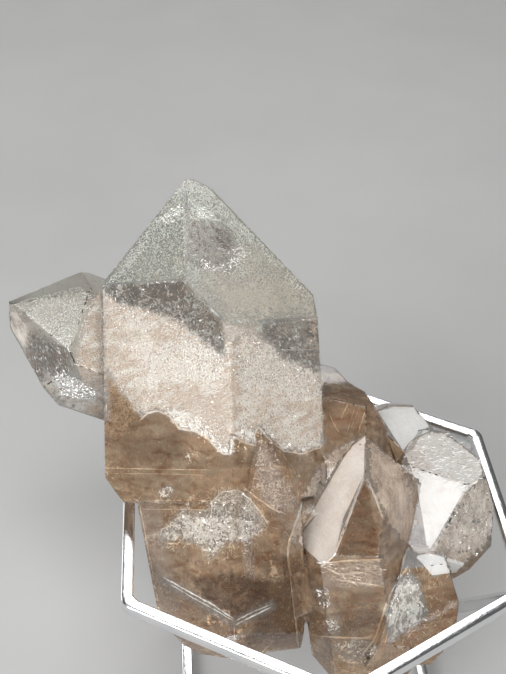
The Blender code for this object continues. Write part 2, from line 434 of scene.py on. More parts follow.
def quartz_material():
    g = Graph("smoky_quartz")
    names = ("smoke", "deep", "frost", "milk_and_painted_sheen", "mist_and_painted_light", "smoke_and_painted_dark", "sand", "edge")
    smoke, deep, frost, milk_and_painted_sheen, mist_and_painted_light, smoke_and_painted_dark, sand, edge = (g.attribute(name) for name in names)
    grain = g.noise(2.3, detail=3, rough=0.65)
    fine = g.noise(3.6, detail=2, rough=0.6)
    coarse = g.noise(0.5, detail=5, rough=0.7)
    cloud = g.noise(0.13, detail=5, rough=0.6)
    bands = g.noise(0.42, detail=5, rough=0.62, twist=0.8, stretch=(0.5, 0.5, 1.25))
    speck = g.range(grain, 0.43, 0.58)
    brown = g.mix(g.range(bands, 0.36, 0.64), rgb(170, 125, 88), rgb(251, 225, 190))
    brown = g.mix(g.range(grain, 0.44, 0.36, 0, 0.35), brown, rgb(120, 84, 54))
    brown = g.mix(g.range(cloud, 0.40, 0.62, 0, 0.7), brown, rgb(216, 184, 152))
    brown = g.mix(g.range(fine, 0.57, 0.66, 0, 0.4), brown, rgb(255, 238, 214))
    # Darker brown: deeper smoke, and painted shadow in the zones named shadow
    brown = g.mix(g.times(deep, 0.85), brown, g.mix(speck, rgb(60, 38, 24), rgb(124, 88, 60)))
    clear = g.mix(g.range(cloud, 0.35, 0.65), rgb(236, 238, 232), rgb(204, 200, 192))
    clear = g.mix(g.range(coarse, 0.56, 0.64, 0, 0.6), clear, rgb(150, 142, 132))
    colour = g.mix(smoke, clear, brown)
    colour = g.mix(sand, colour, g.mix(speck, rgb(240, 228, 214), rgb(255, 254, 250)))
    frosted = g.mix(speck, rgb(190, 198, 190), rgb(253, 255, 249))
    frosted = g.mix(g.range(coarse, 0.50, 0.60, 0, 0.5), frosted, rgb(226, 226, 218))
    colour = g.mix(g.times(frost, 0.85), colour, frosted)
    # Whitened colour: milky quartz, and painted light and highlight on faces that the lamps light too
    # little
    white = g.mix(speck, rgb(222, 222, 220), rgb(255, 255, 255))
    colour = g.mix(g.join("MAXIMUM", (milk_and_painted_sheen, mist_and_painted_light)), colour, white)
    # Greyed colour: smoky spots and streaks, and painted shade where the clear windows show the dark
    # behind the quartz
    smoke_and_shade_colour = g.mix(g.range(coarse, 0.40, 0.60), rgb(84, 82, 78), rgb(156, 147, 137))
    smoke_and_shade_colour = g.mix(g.range(fine, 0.56, 0.66, 0, 0.6), smoke_and_shade_colour, rgb(214, 208, 198))
    colour = g.mix(smoke_and_painted_dark, colour, smoke_and_shade_colour)
    colour = g.mix(g.times(edge, edge, 0.8), colour, rgb(255, 250, 242))
    frosting = g.times(frost, g.range(grain, 0.3, 0.7, 0.12, 0.24))
    rough = g.plus(0.04, frosting, g.times(milk_and_painted_sheen, 0.14), g.times(sand, 0.05))
    depth = g.plus(0.06, g.times(frost, 0.5), g.times(sand, 0.4))
    height = g.plus(g.times(grain, depth), g.times(coarse, 0.2))
    absorption = g.node(
        "ShaderNodeVolumeAbsorption", {"Color": QUARTZ_ABSORPTION, "Density": QUARTZ_DENSITY}
    )
    g.put(g.output.inputs["Volume"], absorption)
    return g.finish(
        Base_Color=colour,
        Roughness=rough,
        Normal=g.bump(height, 0.00024, 0.6),
        IOR=QUARTZ_IOR,
        Transmission_Weight=0.82,
    )


# Faces with a finish of their own: a point on each in the leaning frame, then frost and milk
# The milk is milky whiteness, and on the plates' faces also painted highlight
FACE_FINISH = {
    "tip_left": ((-43.1, -2.1, 68.5), 1.0, 0.0),
    "tip_right": ((-14.7, -6.5, 60.5), 0.85, 0.0),
    "tip_window": ((-22.0, -23.2, 47.7), 0.4, 0.8),
    "side_bright": ((-66.9, 1.3, 55.7), 0.6, 0.1),
    "side_top": ((-70.5, 6.8, 58.5), 0.9, 0.0),
    "stout_bright": ((4.6, -19.5, 8.8), 0.25, 0.45),
    "stout_right": ((15.4, -21.4, 11.5), 0.25, 0.3),
    "plate_white": ((30.6, -9.5, 5.0), 0.2, 0.8),
    "plate_upper": ((23.8, 6.1, 22.7), 0.3, 0.8),
    "plate_top": ((32.4, 1.7, 16.5), 0.4, 0.4),
    "plate_low": ((29.5, -16.0, -9.4), 0.3, 1.0),
    "pale_top": ((5.8, 14.0, 35.7), 0.3, 0.5),
    "tip_far_left": ((-47.4, 10.8, 71.3), 0.9, 0.0),
    "tip_far_right": ((-10.6, 14.3, 66.1), 0.9, 0.0),
    "tip_back_left": ((-36.9, 18.7, 80.5), 0.9, 0.0),
    "tip_back_right": ((-25.8, 22.9, 75.0), 0.9, 0.0),
    "side_far_top": ((-72.3, 17.4, 57.0), 0.9, 0.0),
    "side_back_top": ((-52.1, 28.2, 54.3), 0.9, 0.0),
}

# Outlines of places seen in the photograph, in its pixels, 506 across and 674 down

# The beige phantom with its ragged lower border
PHANTOM = (
    (103, 290), (116, 298), (135, 304), (159, 311), (181, 320), (194, 331), (207, 341), (223, 352),
    (227, 342), (242, 330), (256, 330), (267, 340), (283, 356), (302, 363), (318, 370), (326, 443),
    (321, 447), (301, 454), (283, 451), (268, 439), (258, 427), (254, 435), (255, 446), (242, 442),
    (233, 436), (232, 454), (224, 455), (216, 448), (207, 438), (196, 432), (180, 430), (170, 417),
    (158, 412), (148, 414), (141, 418), (124, 396), (104, 368),
)

# The white veil low in the main crystal
VEIL = (
    (158, 533), (166, 526), (182, 509), (192, 511), (208, 512), (211, 500), (224, 490), (239, 489),
    (251, 499), (260, 512), (266, 524), (248, 543), (227, 542), (216, 556), (208, 559), (198, 543),
    (177, 539), (163, 543),
)

# The windows into the clear quartz above the phantom, left and right of the middle edge
LEFT_WINDOW = (
    (108, 286), (184, 281), (221, 320), (225, 352), (222, 356), (207, 344), (194, 334), (181, 323),
    (159, 314), (135, 307), (116, 301),
)
RIGHT_WINDOW = ((264, 323), (317, 318), (318, 373), (302, 365), (283, 357), (266, 335))

# The smoky spot under the point, and the bright spots and streak round it
SMOKY_PATCH = (
    (184, 226), (190, 217), (204, 222), (214, 219), (224, 228), (234, 232), (238, 248), (231, 258),
    (236, 272), (222, 273), (207, 266), (196, 262), (186, 250),
)
LEFT_GLOW = ((156, 222), (170, 210), (181, 204), (184, 216), (178, 222), (166, 224))
RIGHT_GLOW = ((194, 210), (203, 206), (214, 216), (206, 221), (198, 218))
POINT_STREAK = (
    (188, 252), (206, 261), (222, 266), (228, 252), (242, 246), (246, 256), (230, 272), (206, 271),
)

# The streaked and the bright face of the side crystal
SIDE_STREAKED = (
    (27, 333), (40, 330), (55, 341), (72, 352), (73, 366), (64, 374), (55, 378), (44, 383), (34, 372),
    (28, 352),
)
SIDE_BRIGHT = ((14, 304), (71, 347), (90, 295), (79, 287))

# The dark triangle, the pale face and the right face of the stout crystal
STOUT_TRIANGLE = ((365, 478), (335, 556), (382, 558))
STOUT_PALE = (
    (365, 437), (364, 476), (348, 500), (335, 553), (322, 564), (298, 541), (301, 532), (350, 449),
)
STOUT_RIGHT = ((367, 438), (405, 466), (420, 524), (404, 548), (384, 520), (366, 475))

# The fracture, and the pale patch at the bottom of the picture
FRACTURE = (
    (398, 577), (408, 572), (420, 583), (428, 613), (425, 620), (402, 633), (388, 643), (385, 617),
    (392, 590),
)
BASE_PATCH = ((334, 644), (356, 638), (380, 646), (368, 663), (340, 661))

# The faces of the plates at the right
PLATE_WHITE = ((416, 474), (432, 474), (460, 483), (464, 491), (430, 549), (427, 545), (418, 490))
PLATE_UPPER = ((378, 412), (395, 407), (416, 408), (431, 430), (410, 441), (403, 451))
PLATE_TOP = (
    (405, 453), (410, 442), (435, 431), (458, 438), (478, 457), (482, 474), (466, 492), (460, 487),
    (432, 478), (415, 478),
)
PLATE_RIGHT = ((463, 489), (483, 478), (496, 520), (484, 548), (458, 570), (429, 551))
PLATE_LOW = ((428, 553), (416, 557), (432, 575), (456, 572), (464, 563))

# Rough faces: a pixel on each, the depth and size of its relief in millimetres, and how much the
# relief is squeezed along each leaning axis
BROKEN = {
    "plate_top": ((445, 445), 0.13, 0.9, (0.12, 1.0, 1.0)),
    "plate_right": ((478, 520), 0.22, 2.2, (1.0, 1.0, 0.7)),
    "plate_upper": ((400, 425), 0.1, 2.4, (1.0, 1.0, 0.6)),
    "plate_white": ((430, 505), 0.03, 3.0, (1.0, 1.0, 1.0)),
    "base_face": ((440, 600), 0.06, 3.0, (1.0, 1.0, 1.0)),
    "fracture_face": ((410, 600), 0.06, 3.0, (1.0, 1.0, 0.6)),
    "back_face": ((345, 392), 0.12, 2.2, (0.7, 0.7, 1.0)),
    "side_streaked": ((50, 355), 0.05, 1.4, (0.6, 0.6, 1.0)),
    "side_low": ((85, 392), 0.1, 1.8, (1.0, 1.0, 1.0)),
}

# The tones that areas of the surface can have
TONES = ("deep", "mist_and_painted_light", "smoke_and_painted_dark", "sand", "brown", "open", "plain")

# Areas of the surface with a tone, some their own colour and some painted light and shade: which tone,
# how strong, how soft its border is and its outline, both in the photograph's pixels
ZONES = {
    "phantom": ("sand", 1.0, 4.0, PHANTOM),
    "point_haze": ("sand", 0.6, 9.0,
        ((205, 262), (232, 272), (262, 285), (284, 302), (262, 320), (243, 323), (222, 314), (200, 290))),
    "side_join": ("sand", 0.75, 8.0, ((86, 300), (106, 290), (106, 400), (84, 392), (74, 350))),
    "phantom_corner": ("brown", 1.0, 16.0,
        ((90, 364), (104, 370), (124, 391), (152, 411), (140, 446), (90, 446))),
    "phantom_corner_dark": ("deep", 0.4, 12.0,
        ((98, 380), (122, 402), (140, 424), (130, 446), (98, 446))),
    "middle_edge": ("plain", 1.0, 1.0, ((218, 318), (240, 318), (240, 650), (224, 650))),
    "stem_edge": ("plain", 1.0, 1.0, ((262, 440), (290, 440), (292, 600), (262, 600))),
    "stem_facet": ("plain", 1.0, 1.0,
        ((236, 498), (260, 498), (260, 572), (290, 572), (290, 590), (236, 590))),
    "stem_left_margin": ("mist_and_painted_light", 0.22, 12.0, ((132, 500), (158, 500), (186, 646), (160, 640))),
    "crack_clearing": ("open", 0.7, 2.0,
        ((160, 574), (234, 616), (274, 600), (275, 609), (235, 629), (160, 583))),
    # The windows are greyed: painted shade of the dark seen through the clear quartz
    "left_window": ("smoke_and_painted_dark", 0.6, 2.0, LEFT_WINDOW),
    "left_window_corner": ("smoke_and_painted_dark", 0.4, 5.0, ((112, 287), (142, 285), (140, 299), (114, 298))),
    "right_window": ("smoke_and_painted_dark", 0.5, 2.0, RIGHT_WINDOW),
    "smoky_patch": ("smoke_and_painted_dark", 0.25, 12.0, SMOKY_PATCH),
    "point_edge": ("plain", 0.6, 1.0, ((181, 184), (191, 184), (190, 284), (180, 284))),
    "smoky_core": ("smoke_and_painted_dark", 0.7, 6.0, ((217, 229), (229, 231), (232, 245), (222, 250), (214, 240))),
    "veil": ("open", 0.6, 5.0, VEIL),
    "veil_haze": ("mist_and_painted_light", 0.2, 6.0,
        ((183, 518), (208, 514), (263, 516), (262, 534), (246, 543), (214, 546), (190, 540))),
    "stem_dark": ("deep", 0.8, 7.0,
        ((190, 578), (230, 573), (270, 577), (273, 606), (238, 618), (205, 600))),
    "stem_shadow": ("deep", 0.4, 6.0, ((245, 545), (278, 540), (284, 565), (250, 568))),
    "upper_shadow": ("deep", 0.35, 6.0, ((116, 440), (176, 432), (186, 458), (130, 462))),
    "small_point": ("mist_and_painted_light", 0.35, 7.0, ((250, 440), (272, 446), (298, 506), (280, 516), (262, 500))),
    "stem_right": ("deep", 0.6, 7.0,
        ((262, 552), (286, 556), (303, 580), (304, 646), (246, 646), (262, 606))),
    "stout_face": ("mist_and_painted_light", 0.6, 2.0, STOUT_PALE),
    "stout_right": ("mist_and_painted_light", 0.35, 8.0, STOUT_RIGHT),
    "plate_top": ("mist_and_painted_light", 0.6, 3.0, PLATE_TOP),
    "plate_right": ("mist_and_painted_light", 0.3, 6.0, PLATE_RIGHT),
    "triangle": ("deep", 0.6, 1.5, STOUT_TRIANGLE),
    "stout_low": ("deep", 0.5, 9.0, ((330, 595), (376, 590), (380, 625), (340, 635))),
    "stout_ledge": ("mist_and_painted_light", 0.25, 4.0, ((322, 562), (382, 562), (383, 586), (324, 588))),
    # The side crystal's low face turns from the lamps; its whitening is painted light
    "side_low": ("mist_and_painted_light", 0.8, 5.0,
        ((52, 372), (66, 374), (78, 382), (98, 386), (99, 404), (78, 402), (58, 394))),
    "fracture": ("open", 0.9, 3.0, FRACTURE),
    "fracture_haze": ("mist_and_painted_light", 0.3, 5.0, FRACTURE),
    "plate_white": ("open", 0.9, 2.0, PLATE_WHITE),
    "plate_upper": ("open", 0.9, 2.0, PLATE_UPPER),
    "plate_low": ("open", 0.9, 2.0, PLATE_LOW),
    "small_patch": ("open", 0.5, 5.0, ((157, 490), (167, 484), (176, 490), (170, 499), (160, 498))),
    "stout_patch": ("open", 0.5, 6.0, ((314, 588), (328, 586), (334, 605), (322, 612))),
    "stout_low_patch": ("open", 0.5, 6.0, ((324, 617), (339, 616), (342, 634), (329, 636))),
    "base_patch": ("open", 0.5, 6.0, BASE_PATCH),
    "stout_strip": ("mist_and_painted_light", 0.5, 3.0,
        ((360, 437), (349, 448), (324, 490), (300, 532), (292, 548), (291, 530), (300, 502), (316, 469),
         (334, 449))),
    "base_face": ("brown", 0.9, 6.0,
        ((426, 585), (458, 580), (460, 612), (440, 634), (404, 652), (404, 640), (428, 622))),
    # Painted light on the low plate face, which the lamps' reflection misses
    "plate_low_haze": ("mist_and_painted_light", 0.9, 2.0, PLATE_LOW),
    "side_streaks": ("smoke_and_painted_dark", 0.6, 5.0, SIDE_STREAKED),
    "side_base": ("mist_and_painted_light", 0.5, 8.0, ((40, 368), (60, 372), (110, 384), (110, 420), (60, 408))),
    "side_rim": ("mist_and_painted_light", 0.35, 8.0, ((8, 312), (14, 306), (30, 330), (28, 352), (22, 346))),
}

# Painted light and shade on the films, lighter or darker than their own colour: by how much, how soft
# the border is and its outline, both in the photograph's pixels
SHADES = {
    "phantom_right": (0.35, 16.0, ((240, 330), (300, 350), (326, 372), (328, 450), (236, 450))),
    # The plate faces that the lamps light too little, lightened: painted light
    "plate_low": (0.4, 3.0, PLATE_LOW),
    "plate_upper": (0.4, 3.0, PLATE_UPPER),
    "point_light": (0.5, 30.0, ((150, 160), (240, 160), (262, 238), (200, 222), (120, 270), (90, 290))),
    # The point's lower part, darker and warmer: painted reflection of the phantom's glow
    "point_low": (-0.45, 34.0, ((196, 262), (246, 270), (290, 262), (330, 300), (330, 330), (220, 330))),
    "phantom_top_left": (0.5, 20.0, ((139, 335), (224, 350), (224, 384), (180, 380), (139, 370))),
    "phantom_top_right": (0.5, 14.0, ((240, 364), (300, 366), (300, 386), (240, 384))),
    "phantom_low_left": (-0.3, 24.0, ((100, 380), (140, 396), (232, 400), (232, 456), (100, 430))),
    "phantom_low_right": (-0.25, 20.0, ((236, 400), (326, 396), (326, 450), (236, 450))),
    "phantom_left_margin": (-0.25, 12.0, ((100, 300), (118, 304), (124, 380), (100, 372))),
}


# Where the smoke fades out, in millimetres up, left or right in the leaning frame: in the main
# crystal, whose fade sinks to its left, in the side crystal, the crystals behind and the plates
MAIN_FADE = (26, 34)
LEFT_SINK = 3.0
LEFT_SINK_AT = (40, 55)
SIDE_FADE = (54, 58)
STEM_RIGHT = 2
BACK_FADE = (30, 38)
PLATE_FADE = (24, 32)
PLATE_FADE_HEIGHT = (-14, -6)

# How much of the smoke is gone where it has faded out
SIDE_CLEARED = 0.9
BACK_CLEARED = 0.8
PLATES_CLEARED = 0.8

# The phantom's borders on the faces that the camera doesn't see: the height at the middle, the slope
# to the right, how much and over what length they waver, in millimetres, and how soft they are
PHANTOM_TOP = (37.6, -0.392, 1.6, 4.0)
PHANTOM_BOTTOM = (18.9, -0.319, 2.0, 3.0)
PHANTOM_TOP_SOFT = 1.2
PHANTOM_BOTTOM_SOFT = 0.4

# The main crystal's left and right side, and the top and the right side of the base behind it
MAIN_LEFT = -54.5
MAIN_RIGHT = 0.8
BASE_TOP = 30
BASE_RIGHT = 26

# Frost above this marks the faces of the tips
TIP_FROST = 0.6

# The distances from a rough face's edges over which its relief grows to the full depth
RELIEF_GROWS = (0.2, 1.5)


def smoke_at(p):
    """How brown the quartz is at each point: clear towards the tips, brown towards the base."""
    x, z = p[:, 0], p[:, 2]
    main = 1 - smooth(z + LEFT_SINK * smooth(-x, *LEFT_SINK_AT), *MAIN_FADE)
    side = smooth(-x, *SIDE_FADE)
    plates = smooth(x, *PLATE_FADE) * smooth(z, *PLATE_FADE_HEIGHT)
    back = 1 - BACK_CLEARED * smooth(z, *BACK_FADE)
    smoke = np.where(x > STEM_RIGHT, back, main)
    return np.clip(smoke * (1 - SIDE_CLEARED * side) * (1 - PLATES_CLEARED * plates), 0, 1)


def phantom_borders(p):
    """The phantom's upper and lower height at each point of the faces that the camera doesn't see,
    between the heights it has at the right and at the left in the photograph."""
    borders = []
    for (height, slope, depth, length), seed in zip((PHANTOM_TOP, PHANTOM_BOTTOM), PHANTOM_SEEDS):
        borders.append(height + slope * p[:, 0] + depth * uneven(p, length, seed))
    return borders


def on_main(p):
    """Whether each point is on the main crystal, from how far left or right it is."""
    return (p[:, 0] > MAIN_LEFT) & (p[:, 0] < MAIN_RIGHT)


def photo_ray(u, v):
    """The direction, in the leaning frame, in which the camera sees one of the photo's pixels."""
    return Vector((u - PHOTO_WIDTH / 2, FOCAL, PHOTO_HEIGHT / 2 - v)).normalized()


def photo_place(points):
    """The photo's pixel at which the camera sees each point of the leaning frame."""
    x, y, z = (points - np.array(CAMERA_PLACE)).T
    return np.stack([PHOTO_WIDTH / 2 + FOCAL * x / y, PHOTO_HEIGHT / 2 - FOCAL * z / y], axis=1)


def wander(points):
    """A wavering offset across and down, in pixels, for the borders of zones."""
    return WANDER * np.stack([uneven(points, WANDER_SIZE, seed) for seed in WANDER_SEEDS], axis=1)


class Cluster:
    """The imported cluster's flat faces in the leaning frame, and where its surface is."""

    def __init__(self):
        self.bm = facets(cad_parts["quartz_cluster"])
        self.faces = BVHTree.FromBMesh(self.bm)

    def under(self, pixels, depths):
        """The places that lie at depths under the surface seen at each pixel, the direction of the
        view there, and whether the quartz is thick enough to hold something at that place."""
        places = np.zeros((len(pixels), 3))
        rays = np.zeros((len(pixels), 3))
        found = np.zeros(len(pixels), bool)
        depths = np.broadcast_to(depths, len(pixels))
        for i, ((u, v), depth) in enumerate(zip(pixels, depths)):
            ray = photo_ray(u, v)
            hit = self.faces.ray_cast(CAMERA_PLACE, ray)[0]
            if hit is None:
                continue
            reach = self.faces.ray_cast(hit + ray * RAY_START, ray)[3]
            places[i] = hit + ray * depth
            rays[i] = ray
            found[i] = reach is not None and reach > depth + LEAST_BEHIND
        return places, rays, found

    def in_view(self, points):
        """Whether the camera sees each point of the surface."""
        seen = []
        for p in points:
            ray = Vector(p) - CAMERA_PLACE
            hit = self.faces.ray_cast(CAMERA_PLACE, ray)[0]
            seen.append(hit is not None and (hit - Vector(p)).length < SEEN_WITHIN)
        return np.array(seen)

    def seen_face(self, pixel):
        return self.faces.ray_cast(CAMERA_PLACE, photo_ray(*pixel))[2]

    def depth_at(self, place):
        """How deep a place is in the quartz, negative outside it."""
        spot, normal = self.faces.find_nearest(Vector(place))[:2]
        return (spot - Vector(place)).dot(normal)

    def face_at(self, place):
        return self.faces.find_nearest(Vector(place))[2]


class Rear:
    """The fine surface away from the camera in three parts: frosted tips, phantom and base."""

    def __init__(self, points, triangles, normals, hidden, frosted):
        self.points = points
        self.triangles = triangles
        self.normals = normals
        a, b, c = (points[triangles[:, i]] for i in range(3))
        self.area = np.linalg.norm(np.cross(b - a, c - a), axis=1)
        centre = (a + b + c) / 3
        top, bottom = phantom_borders(centre)
        main = on_main(centre)
        height = centre[:, 2]
        plain = hidden & ~frosted
        self.parts = {
            "tips": hidden & frosted,
            "phantom": plain & main & (height > bottom) & (height < top),
            "base": plain & (height < np.where(main, bottom, BASE_TOP)) & (centre[:, 0] < BASE_RIGHT),
        }

    def places(self, part, count, depth, random):
        """Places under a part of the surface, and the way in at each."""
        weight = self.area * self.parts[part]
        chosen = random.choice(len(weight), count, p=weight / weight.sum())
        share = random.dirichlet((1, 1, 1), count)[:, :, None]
        inward = -(self.normals[self.triangles[chosen]] * share).sum(1)
        spots = (self.points[self.triangles[chosen]] * share).sum(1)
        return spots + inward * random.uniform(*depth, count)[:, None], inward

    def lining(self, part, depth, lace, seed):
        """The points and faces of a film under a part of the surface."""
        inner = self.points - self.normals * depth
        kept = self.triangles[self.parts[part]]
        hole = uneven(inner[kept].mean(1), REAR_HOLES, seed, 4)
        used, triangles = trim(kept[hole > np.quantile(hole, lace)].tolist())
        return slab(inner[used], triangles, -FILM_THICKNESS * self.normals[used])


def face_tones(body):
    """The frost and milk of each face, the milk on the plates partly painted highlight."""
    frost = np.full(len(body.bm.faces), PLAIN_FROST)
    milk_and_painted_sheen = np.zeros(len(body.bm.faces))
    for place, face_frost, face_milk_and_sheen in FACE_FINISH.values():
        index = body.face_at(place)
        frost[index] = face_frost
        milk_and_painted_sheen[index] = face_milk_and_sheen
    return frost, milk_and_painted_sheen


def edge_wear(bm, along, count):
    """How worn each point of the surface is: fully at corners and sharp edges, less at flat ones."""
    wear = np.zeros(count)
    wear[: len(bm.verts)] = 1
    for edge, numbers in zip(bm.edges, along):
        sharp = edge.calc_face_angle_signed(0) > FLAT_EDGE
        wear[numbers.start : numbers.stop] = 1 if sharp else FLAT_WEAR
    return wear


def point_normals(bm, points, triangles, owner):
    normals = np.zeros_like(points)
    face_normals = np.array([f.normal for f in bm.faces])
    for corner in range(3):
        np.add.at(normals, triangles[:, corner], face_normals[owner])
    return normals / np.linalg.norm(normals, axis=1)[:, None]


def zone_tones(points, seen):
    """How strong each tone is at each point of the surface."""
    tones = {tone: np.zeros(len(points)) for tone in TONES}
    pixels = photo_place(points) + wander(points)
    for tone, strength, soft, outline in ZONES.values():
        clear = clearance(pixels, np.array(outline))
        share = strength * smooth(clear, -soft / 2, soft / 2) * seen
        tones[tone] = np.maximum(tones[tone], share)
    top, bottom = phantom_borders(points)
    height = points[:, 2]
    share = smooth(height - bottom, -PHANTOM_BOTTOM_SOFT, PHANTOM_BOTTOM_SOFT)
    share *= smooth(top - height, -PHANTOM_TOP_SOFT, PHANTOM_TOP_SOFT)
    tones["sand"] = np.where(seen | ~on_main(points), tones["sand"], share)
    return tones


def roughen(bm, points, place_of, broken):
    """Moves the points of the rough faces out and in, less towards the faces' edges."""
    for index, depth, size, stretch in broken:
        own = place_of == index
        height = depth * uneven(points[own] * np.array(stretch), size, index, 4)
        height *= smooth(from_edges(bm.faces[index], points[own]), *RELIEF_GROWS)
        points[own] += height[:, None] * np.array(bm.faces[index].normal)


def sharpen(mesh, chosen):
    """Marks the edges between chosen points as sharp."""
    ends = np.zeros(2 * len(mesh.edges), np.int32)
    mesh.edges.foreach_get("vertices", ends)
    sharp = mesh.attributes.new("sharp_edge", "BOOLEAN", "EDGE")
    sharp.data.foreach_set("value", chosen[ends].reshape(-1, 2).all(1))


def cluster(body):
    bm = body.bm
    broken = [(body.seen_face(pixel), *relief) for pixel, *relief in BROKEN.values()]
    points, triangles, owner, place_of, along = fine_surface(bm, {row[0] for row in broken})
    frost, milk_and_painted_sheen = face_tones(body)
    normals = point_normals(bm, points, triangles, owner)
    seen = body.in_view(points)
    tones = zone_tones(points, seen)
    body.rear = Rear(points, triangles, normals, ~seen[triangles].all(1), frost[owner] > TIP_FROST)
    roughen(bm, points, place_of, broken)
    plain = tones.pop("plain")
    wear = edge_wear(bm, along, len(points)) * (1 - plain)
    points = points - normals * (wear * WORN_DEPTH)[:, None]
    smoke = np.maximum(smoke_at(points), tones.pop("brown")) * (1 - tones.pop("open"))
    made = quartz_piece("quartz_cluster_surface", points, triangles, quartz_material())
    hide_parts("quartz_cluster")
    mesh = made.data
    put_attribute(mesh, "frost", "FACE", frost[owner])
    put_attribute(mesh, "milk_and_painted_sheen", "FACE", milk_and_painted_sheen[owner])
    for name, values in {"smoke": smoke, "edge": wear, **tones}.items():
        put_attribute(mesh, name, "POINT", values)
    mesh.shade_smooth()
    sharpen(mesh, (place_of < 0) & (plain > 0.5))


# Inside the quartz

# Sizes of the holes and waves of films in millimetres, and how strong the small holes are
HOLES = 1.2
SMALL_HOLES = 0.45
SMALL_SHARE = 0.8
WAVES = 1.2
REAR_HOLES = 1.8

# The quantiles of a film's hole noise between which its border thins
BORDER_RANGE = (0.02, 0.98)

# An outline follows the crystal's own where this many pixels past it there is nothing, or only a
# face this many millimetres further back
PAST_BORDER = 4
SAME_FACE = 3

# How many millimetres a film's triangle may reach back for each pixel of its step, and the least
# step that counts
STEEPEST = 0.7
LEAST_STEP = 2

# Spots drawn for each flake, as those outside its outline are dropped, how far flakes stray from
# their line, and how uneven their corners are
SPOTS_DRAWN = 6
LINE_STRAY = 0.25
FLAKE_UNEVEN = 0.3

# Spacing and random shift of a crack's points in pixels, how thin its ends are and over how many
# points they taper, and how its width and its depth vary
CRACK_STEP = 2
CRACK_JITTER = 0.25
CRACK_END = 0.25
CRACK_TAPER = 3
CRACK_WIDTHS = (0.6, 1.3)
CRACK_DEPTHS = (0.6, 1.0)


class Film(NamedTuple):
    """A film of inclusions under the viewer's side: its outline in pixels, its material, its depth
    and how far it waves in and out in millimetres, the share of it missing in patches and in
    single grains, the width of its thinning border, the spacing of its points and how far those of
    its border are moved, in pixels."""

    outline: tuple
    material: str
    depth: float = 0.8
    relief: float = 0.3
    lace: float = 0.0
    grain: float = 0.0
    fringe: float = 0.0
    step: float = 1.6
    rough: float = 1.0


class Scatter(NamedTuple):
    """Small flat flakes: their outline in pixels, how many, their material, depth and length in
    millimetres, width over length, how far they are tilted from the line of sight, and the pixel
    direction of their length."""

    outline: tuple
    count: int
    material: str
    depth: tuple = (0.3, 0.9)
    size: tuple = (0.25, 0.6)
    slim: float = 0.6
    tilt: float = 0.6
    line: tuple = ()


class Crack(NamedTuple):
    """A crack or growth line seen on edge, or a white line that paints the light caught along a crystal's
    edge: its line in pixels, then its thickness and its two depths in millimetres."""

    line: tuple
    thickness: float
    near: float = 0.3
    far: float = 1.8


def divide(points, step):
    """The corners of a line of 2-D points, without the last, and points about step apart between."""
    made = []
    for p, q in zip(points, points[1:]):
        count = max(1, round(np.linalg.norm(q - p) / step))
        made += [p + (q - p) * k / count for k in range(count)]
    return made


def ragged(outline, step, amount, seed):
    """A closed outline cut into pieces of about step, each point moved a little at random."""
    random = np.random.default_rng(seed)
    points = np.array(divide([*outline, outline[0]], step))
    return points + random.uniform(-amount, amount, points.shape)


def shade_at(pixels):
    """How light a film is at each pixel, from 0 to 1, from its painted light and shade."""
    shade = np.full(len(pixels), 0.5)
    for strength, soft, outline in SHADES.values():
        shade += strength * smooth(clearance(pixels, np.array(outline)), -soft / 2, soft / 2)
    return np.clip(shade, 0, 1)


def from_border(body, ring, pixels):
    """How far each pixel is from the parts of an outline that don't follow the crystal's own."""
    along = np.roll(ring, -1, axis=0) - np.roll(ring, 1, axis=0)
    outward = np.stack([along[:, 1], -along[:, 0]], axis=1)
    outward /= np.maximum(np.linalg.norm(outward, axis=1), 1e-9)[:, None]
    here, _, _ = body.under(ring, 0.0)
    there, _, found = body.under(ring + PAST_BORDER * outward, 0.0)
    free = ring[found & (np.abs(there[:, 1] - here[:, 1]) < SAME_FACE)]
    if not len(free):
        return np.full(len(pixels), np.inf)
    return np.array([np.linalg.norm(free - p, axis=1).min() for p in pixels])


def solid_part(body, film, ring, pixels, points, found, seed):
    """How far each point of a film is from its holes and its thinning border, negative in them."""
    hole = uneven(points, HOLES, seed) + SMALL_SHARE * uneven(points, SMALL_HOLES, seed + 1)
    limit = np.quantile(hole[found], film.lace) if film.lace else -np.inf
    if film.fringe:
        border = np.clip(from_border(body, ring, pixels) / max(film.fringe, 1), 0, 1)
        low, high = np.quantile(hole[found], BORDER_RANGE)
        limit = np.maximum(limit, high + (low - high) * border)
    return hole - limit


def facing(points, triangles):
    """The triangles turned to face the viewer."""
    a, b, c = (points[list(i)] for i in zip(*triangles))
    towards = np.cross(b - a, c - a)[:, 1] < 0
    return [t if front else t[::-1] for t, front in zip(triangles, towards)]


def sheet(body, name, film, material, seed):
    random = np.random.default_rng(seed)
    outline = np.array(film.outline, float)
    x, y = outline.T
    if (x * np.roll(y, -1) - y * np.roll(x, -1)).sum() < 0:
        outline = outline[::-1]
    ring = ragged(outline, film.step, film.rough, seed)
    inner = lattice(ring, film.step, random)
    pixels = np.concatenate([ring, inner])
    points, _, found = body.under(pixels, film.depth)
    deepest = STEEPEST * max(film.step, LEAST_STEP)
    triangles = [t for t in triangulate(ring, inner) if found[list(t)].all()]
    triangles = [t for t in triangles if np.ptp(points[list(t), 1]) < deepest]
    if film.lace or film.fringe:
        solid = solid_part(body, film, ring, pixels, points, found, seed)
        triangles = [t for t in triangles if solid[list(t)].mean() > 0]
    if film.grain:
        triangles = [t for t in triangles if random.uniform() > film.grain]
    points[:, 1] += film.relief * uneven(points, WAVES, seed + 2)
    used, triangles = trim(triangles)
    triangles = facing(points[used], triangles)
    points, faces = slab(points[used], triangles, np.array([0, FILM_THICKNESS, 0]))
    made = quartz_piece(name, points, faces, material)
    put_attribute(made.data, "shade", "POINT", np.tile(shade_at(pixels[used]), 2))


